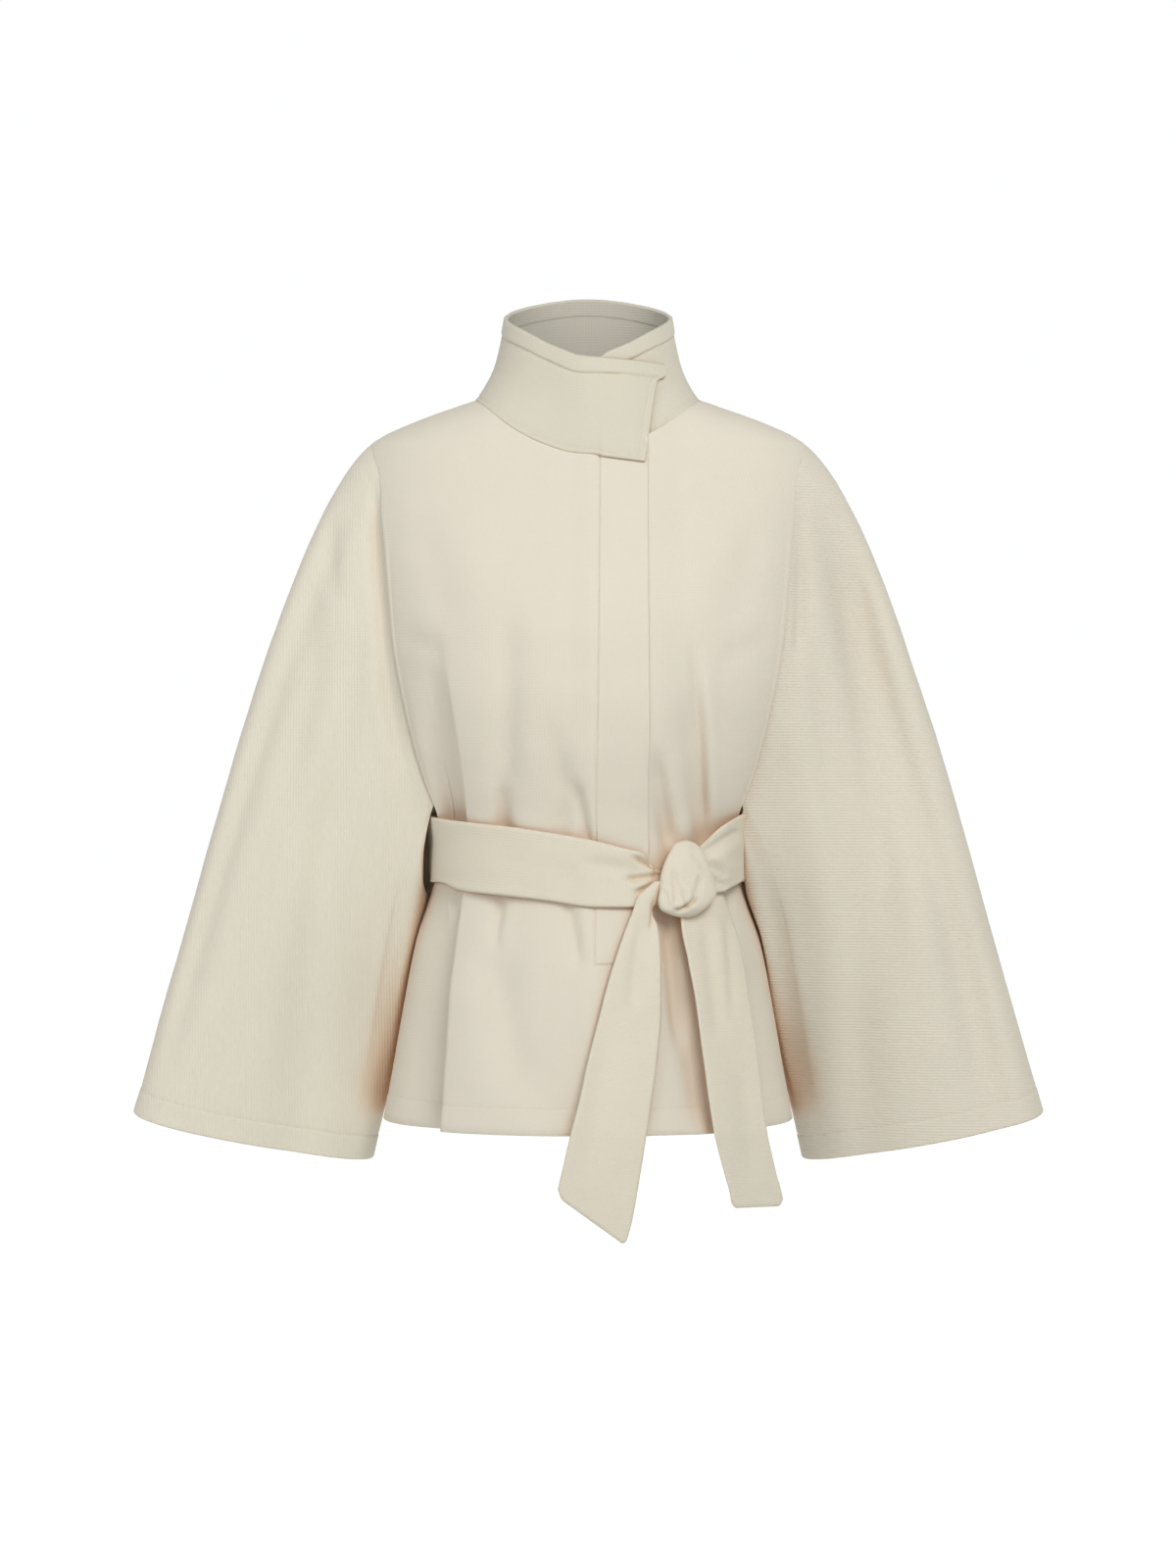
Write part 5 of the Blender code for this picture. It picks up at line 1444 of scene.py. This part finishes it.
KNOT_CREASES = (
    (70, -440, 82.5, -440, 90, -429, 2, 4.2, 1.2),
    (72.5, -398, 72.8, -418, 73.8, -440, 2.6, 2.2, 1),
    (78.5, -418, 80.5, -428, 84, -440, 2, 2.6, 0.8),
    (96, -406, 92.5, -420, 88, -434, 2.6, 2.4, -1),
    (86, -386, 92, -394, 101, -408, 3.4, 2, 0.8),
    (64, -420, 65, -428, 69, -438, 2, 1.8, 0.8),
)
# Stations along the belt from its gathered left run, behind the knot, round the waist by the wearer's
# right side and the back, and back behind the knot: how far round each lies (90 is the wearer's left
# side and -90 the right) or, beside the knot, its x; the heights of its edges; how far its face stands
# off the coat; and how much it is rolled from flat to a tube.
WAIST_RUN = Table(
    "turn top_mm foot_mm out_mm rolled",
    (-52, -409, -435, 4, 0.3),
    (-36, -408, -436, 4.5, 0.7),
    (-27, -405, -436.5, 5.5, 0.8),
    (-23, -398.5, -436.2, 6, 0.5),
    (-18, -391, -436, 5.8, 0.2),
    (-13, -388, -435.5, 5.5, 0),
    (-2.5, -381.7, -435.2, 5.2, 0),
    (14, -375, -430, 5, 0),
    (30, -370, -426.2, 5, 0),
    (52, -366, -422.2, 5, 0),
    (70, -363, -416, 4.8, 0),
    (90, -361, -417, 4.6, 0),
    (180, -362, -418, 4.6, 0),
    (260, -361.2, -417.2, 4.6, 0),
    (270, -361, -416.8, 4.8, 0),
    (282, -359.8, -415.6, 5.5, 0),
)
KNOT_RUN = Table(
    "step x_mm top_mm foot_mm out_mm rolled",
    (0, 129.1, -359.8, -415.6, 5.5, 0),
    (1, 118, -364, -419.5, 9.5, 0.1),
    (2, 106, -369.5, -423.5, 15, 0.2),
    (3, 95, -378, -425.5, 17, 0.4),
    (4, 84, -388, -424, 15, 0.7),
    (5, 74, -396, -420, 11, 0.9),
)


def belt_grid():
    """The belt's outer side: rows run along it and columns from its lower edge to its upper one."""
    share = np.linspace(-1, 1, 27)
    turn = spaced(-52.0, 282.0, 1.6, (-24.0, 12.0, 0.5))[:, None]
    middle = (WAIST_RUN.at("top", turn) + WAIST_RUN.at("foot", turn)) / 2
    half_width = (WAIST_RUN.at("top", turn) - WAIST_RUN.at("foot", turn)) / 2
    rolled = WAIST_RUN.at("rolled", turn)
    bend = np.radians(ROLL_ANGLE) * share
    level = middle + half_width * (share + rolled * (np.sin(bend) - share))
    flat_out = BELT_CROWN * (1 - share**2)
    stand = WAIST_RUN.at("out", turn) + flat_out + rolled * (RUN_ROLL * (np.cos(bend) - 1) - flat_out)
    angle = np.radians(-turn)
    x = RINGS.at("half_width", level) * np.sin(angle)
    stand = stand + lap_rise(x) * ramp(x, *OFF_LAP) * (np.cos(angle) > 0)
    around = ring_point(angle, level) + ring_outward(angle, level) * stand[..., None]
    step = spaced(0.0, 5.0, 0.06)[1:, None]
    low, high = KNOT_RUN.at("foot", step), KNOT_RUN.at("top", step)
    rolled = KNOT_RUN.at("rolled", step)
    level = low + (high - low) * (share + rolled * (np.sin(bend) - share) + 1) / 2
    stand = KNOT_RUN.at("out", step) + BELT_CROWN * (1 - share**2) * (1 - rolled)
    stand = stand + rolled * RUN_ROLL * (np.cos(bend) - 1)
    angle = np.arcsin(KNOT_RUN.at("x", step) / RINGS.at("half_width", level))
    beside_knot = ring_point(angle, level) + ring_outward(angle, level) * stand[..., None]
    return np.concatenate([around, beside_knot])


outer = belt_grid()
normals = -grid_normals(outer, False)
along = lengths_along(outer, 0)
held = ease(along / 0.02) * ease((along[-1:] - along) / 0.02)
pressed = crease_depth(outer, BELT_CREASES) * (outer[..., 1] < -0.02) * held
pressed -= rough(outer, BELT_ROUGH) * held
outer = outer - pressed[..., None] * normals
normals = -grid_normals(outer, False)
inner = outer - BELT_CLOTH * normals
belt_coating = coating("belt_rib_coating", BELT_HEX, 0.40, 0.30)
belt = cloth_piece("tied_belt", outer[:, ::-1], inner[:, ::-1], belt_coating)
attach(belt, "root")
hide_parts("belt_band")


def knot_front():
    """The knot as a soft lump with the outline of its front: rows round it and columns down it."""
    around = np.linspace(0, 2 * math.pi, 97)[:-1][:, None]
    level = np.linspace(KNOT_FORM.keys[-1], KNOT_FORM.keys[0], 71)
    left, right = KNOT_FORM.at("left", level), KNOT_FORM.at("right", level)
    across = np.sign(np.cos(around)) * np.abs(np.cos(around)) ** KNOT_SQUARE
    ahead = (np.sign(np.sin(around)) * np.abs(np.sin(around)) ** KNOT_SQUARE + 1) / 2
    x = (left + right) / 2 + across * (right - left) / 2
    stand = KNOT_BACK + ahead * (KNOT_FORM.at("out", level) - KNOT_BACK)
    middle = np.arcsin((left + right) / 2 / RINGS.at("half_width", level))
    place = ring_point(middle, level) + ring_outward(middle, level) * stand[..., None]
    y = place[..., 1] + KNOT_ASKEW * (x - (left + right) / 2)
    outer = np.stack(np.broadcast_arrays(x, y, level), -1)
    normals = grid_normals(outer, True)
    pressed = crease_depth(outer, KNOT_CREASES) * (ahead > 0.5)
    pressed -= rough(outer, KNOT_ROUGH)
    outer = outer - pressed[..., None] * normals
    return outer, outer - BELT_CLOTH * grid_normals(outer, True)


knot_outer, knot_inner = knot_front()
knot = cloth_piece("belt_knot_turns", knot_outer, knot_inner, belt_coating, wraps=True)
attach(knot, "root")
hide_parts("belt_knot")


# Tails: the belt's two ends hang from the knot, one down the front past the hem and one turned towards
# the side. They are the same doubled cloth, cut aslant and turned in at the ends.
CORNER_ROUND, CORNER_SHARE = 0.0045, 0.16  # how much a corner is rounded, over this share of the strip
CORNER_ROWS, SLANT_ROWS = (0.90, 0.10), (0.55, 0.45)
HEM_LEVEL = -0.626  # below the skirt's hem the tails hang as if it went on
RIGHT_TAIL_SLANT = 0.021  # the end is cut aslant: its corners lie this far above and below
LEFT_TAIL_SLANT = 0.001
# The edges of each tail at each height, how far the strip turns from facing front, how far it
# stands off the skirt, and how much it is rolled together.
RIGHT_TAIL = Table(
    "height_mm left_mm right_mm turn off_mm rolled",
    (-415, 56, 64, 20, 9, 0.9),
    (-420.6, 49, 62, 20, 8.5, 0.8),
    (-428.8, 40.8, 60, 20, 7.5, 0.7),
    (-439.4, 37.3, 56.5, 18, 6, 0.5),
    (-453.3, 32.7, 57.8, 16, 4.5, 0.3),
    (-470, 27, 59.4, 14, 3.5, 0.1),
    (-504.7, 16.3, 60.3, 12, 3, 0),
    (-521.1, 12.2, 60.4, 12, 3, 0),
    (-570.1, 0, 56, 12, 3.5, 0),
    (-598.7, -5.5, 51.5, 12, 4, 0),
    (-627.2, -11.5, 46.2, 11, 4, 0),
    (-675.4, -20.4, 36.5, 10, 4, 0),
    (-696, -24.5, 32.5, 9, 4, 0),
)
LEFT_TAIL = Table(
    "height_mm left_mm right_mm turn off_mm rolled",
    (-420, 80, 113, 40, 5, 0.6),
    (-445.5, 79.5, 123.5, 42, 4.5, 0.3),
    (-481.4, 86, 131.8, 40, 4.5, 0.1),
    (-513.5, 91.8, 136.6, 38, 5, 0),
    (-543.2, 95.7, 141.6, 36, 5.5, 0),
    (-621.4, 106.1, 149.9, 38, 6.5, 0),
    (-683.1, 120.5, 164.7, 36, 8, 0),
    (-689, 121.2, 165.6, 36, 8, 0),
)
TAIL_CREASES = (
    (54, -427, 57.5, -440, 52.5, -456, 2.2, 3, 0.8),
    (50, -438, 40, -470, 38, -520, 7, 3.4, 1.6),
    (18, -530, 8, -590, 2, -660, 11, 2.4, 1.2),
    (98, -440, 104, -480, 110, -540, 6, 3.6, 1.4),
    (118, -435, 119, -470, 123, -530, 5, 2.6, -1.2),
    (125, -560, 133, -610, 140, -660, 9, 2.4, 1),
)


def tail_cloth(line, slant, layers):
    """A tail's outer points and its inner ones, from its two traced edges."""
    top, bottom = line.keys[-1], line.keys[0]
    row, share = np.meshgrid(np.linspace(0, 1, 111), np.linspace(-1, 1, 27), indexing="ij")
    height = top + (bottom - top) * row
    turn = np.radians(line.at("turn", height))
    left, right = line.at("left", height), line.at("right", height)
    middle, half = (left + right) / 2, (right - left) / 2
    on_figure = np.clip(height, HEM_LEVEL, 0)
    width = RINGS.at("half_width", on_figure)
    skirt = -RINGS.at("front_depth", on_figure) * np.sqrt(1 - np.clip(middle / width, -0.95, 0.95) ** 2)
    front = skirt - lap_rise(middle) - PLACKET_RELIEF - line.at("off", height) - BELT_CLOTH
    rolled = line.at("rolled", height)
    bend = np.radians(ROLL_ANGLE) * share
    x = middle + half * (share + rolled * (np.sin(bend) - share))
    y = front + share * half * np.tan(turn) + rolled * half * 0.5 * (1 - np.cos(bend))
    corner = CORNER_ROUND * ease((np.abs(share) - 1 + CORNER_SHARE) / CORNER_SHARE) ** 2
    z = height - slant * share * ramp(row, *SLANT_ROWS) + corner * ramp(row, *CORNER_ROWS)
    outer = np.stack([x, y, z], axis=-1)
    normals = grid_normals(outer, False)
    pressed = crease_depth(outer, TAIL_CREASES)
    pressed -= rough(outer, layers)
    outer = outer - (pressed * ease(row / 0.1))[..., None] * normals
    return outer, outer - BELT_CLOTH * grid_normals(outer, False)


for name, line, slant, layers in (
    ("belt_tail_right", RIGHT_TAIL, RIGHT_TAIL_SLANT, ((0.0011, 0.060, 41), (0.00025, 0.018, 42))),
    ("belt_tail_left", LEFT_TAIL, LEFT_TAIL_SLANT, ((0.0011, 0.060, 43), (0.00025, 0.018, 44))),
):
    outer, inner = tail_cloth(line, slant, layers)
    tail = cloth_piece(name + "_end", outer, inner, belt_coating)
    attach(tail, "root")
    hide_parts(name)
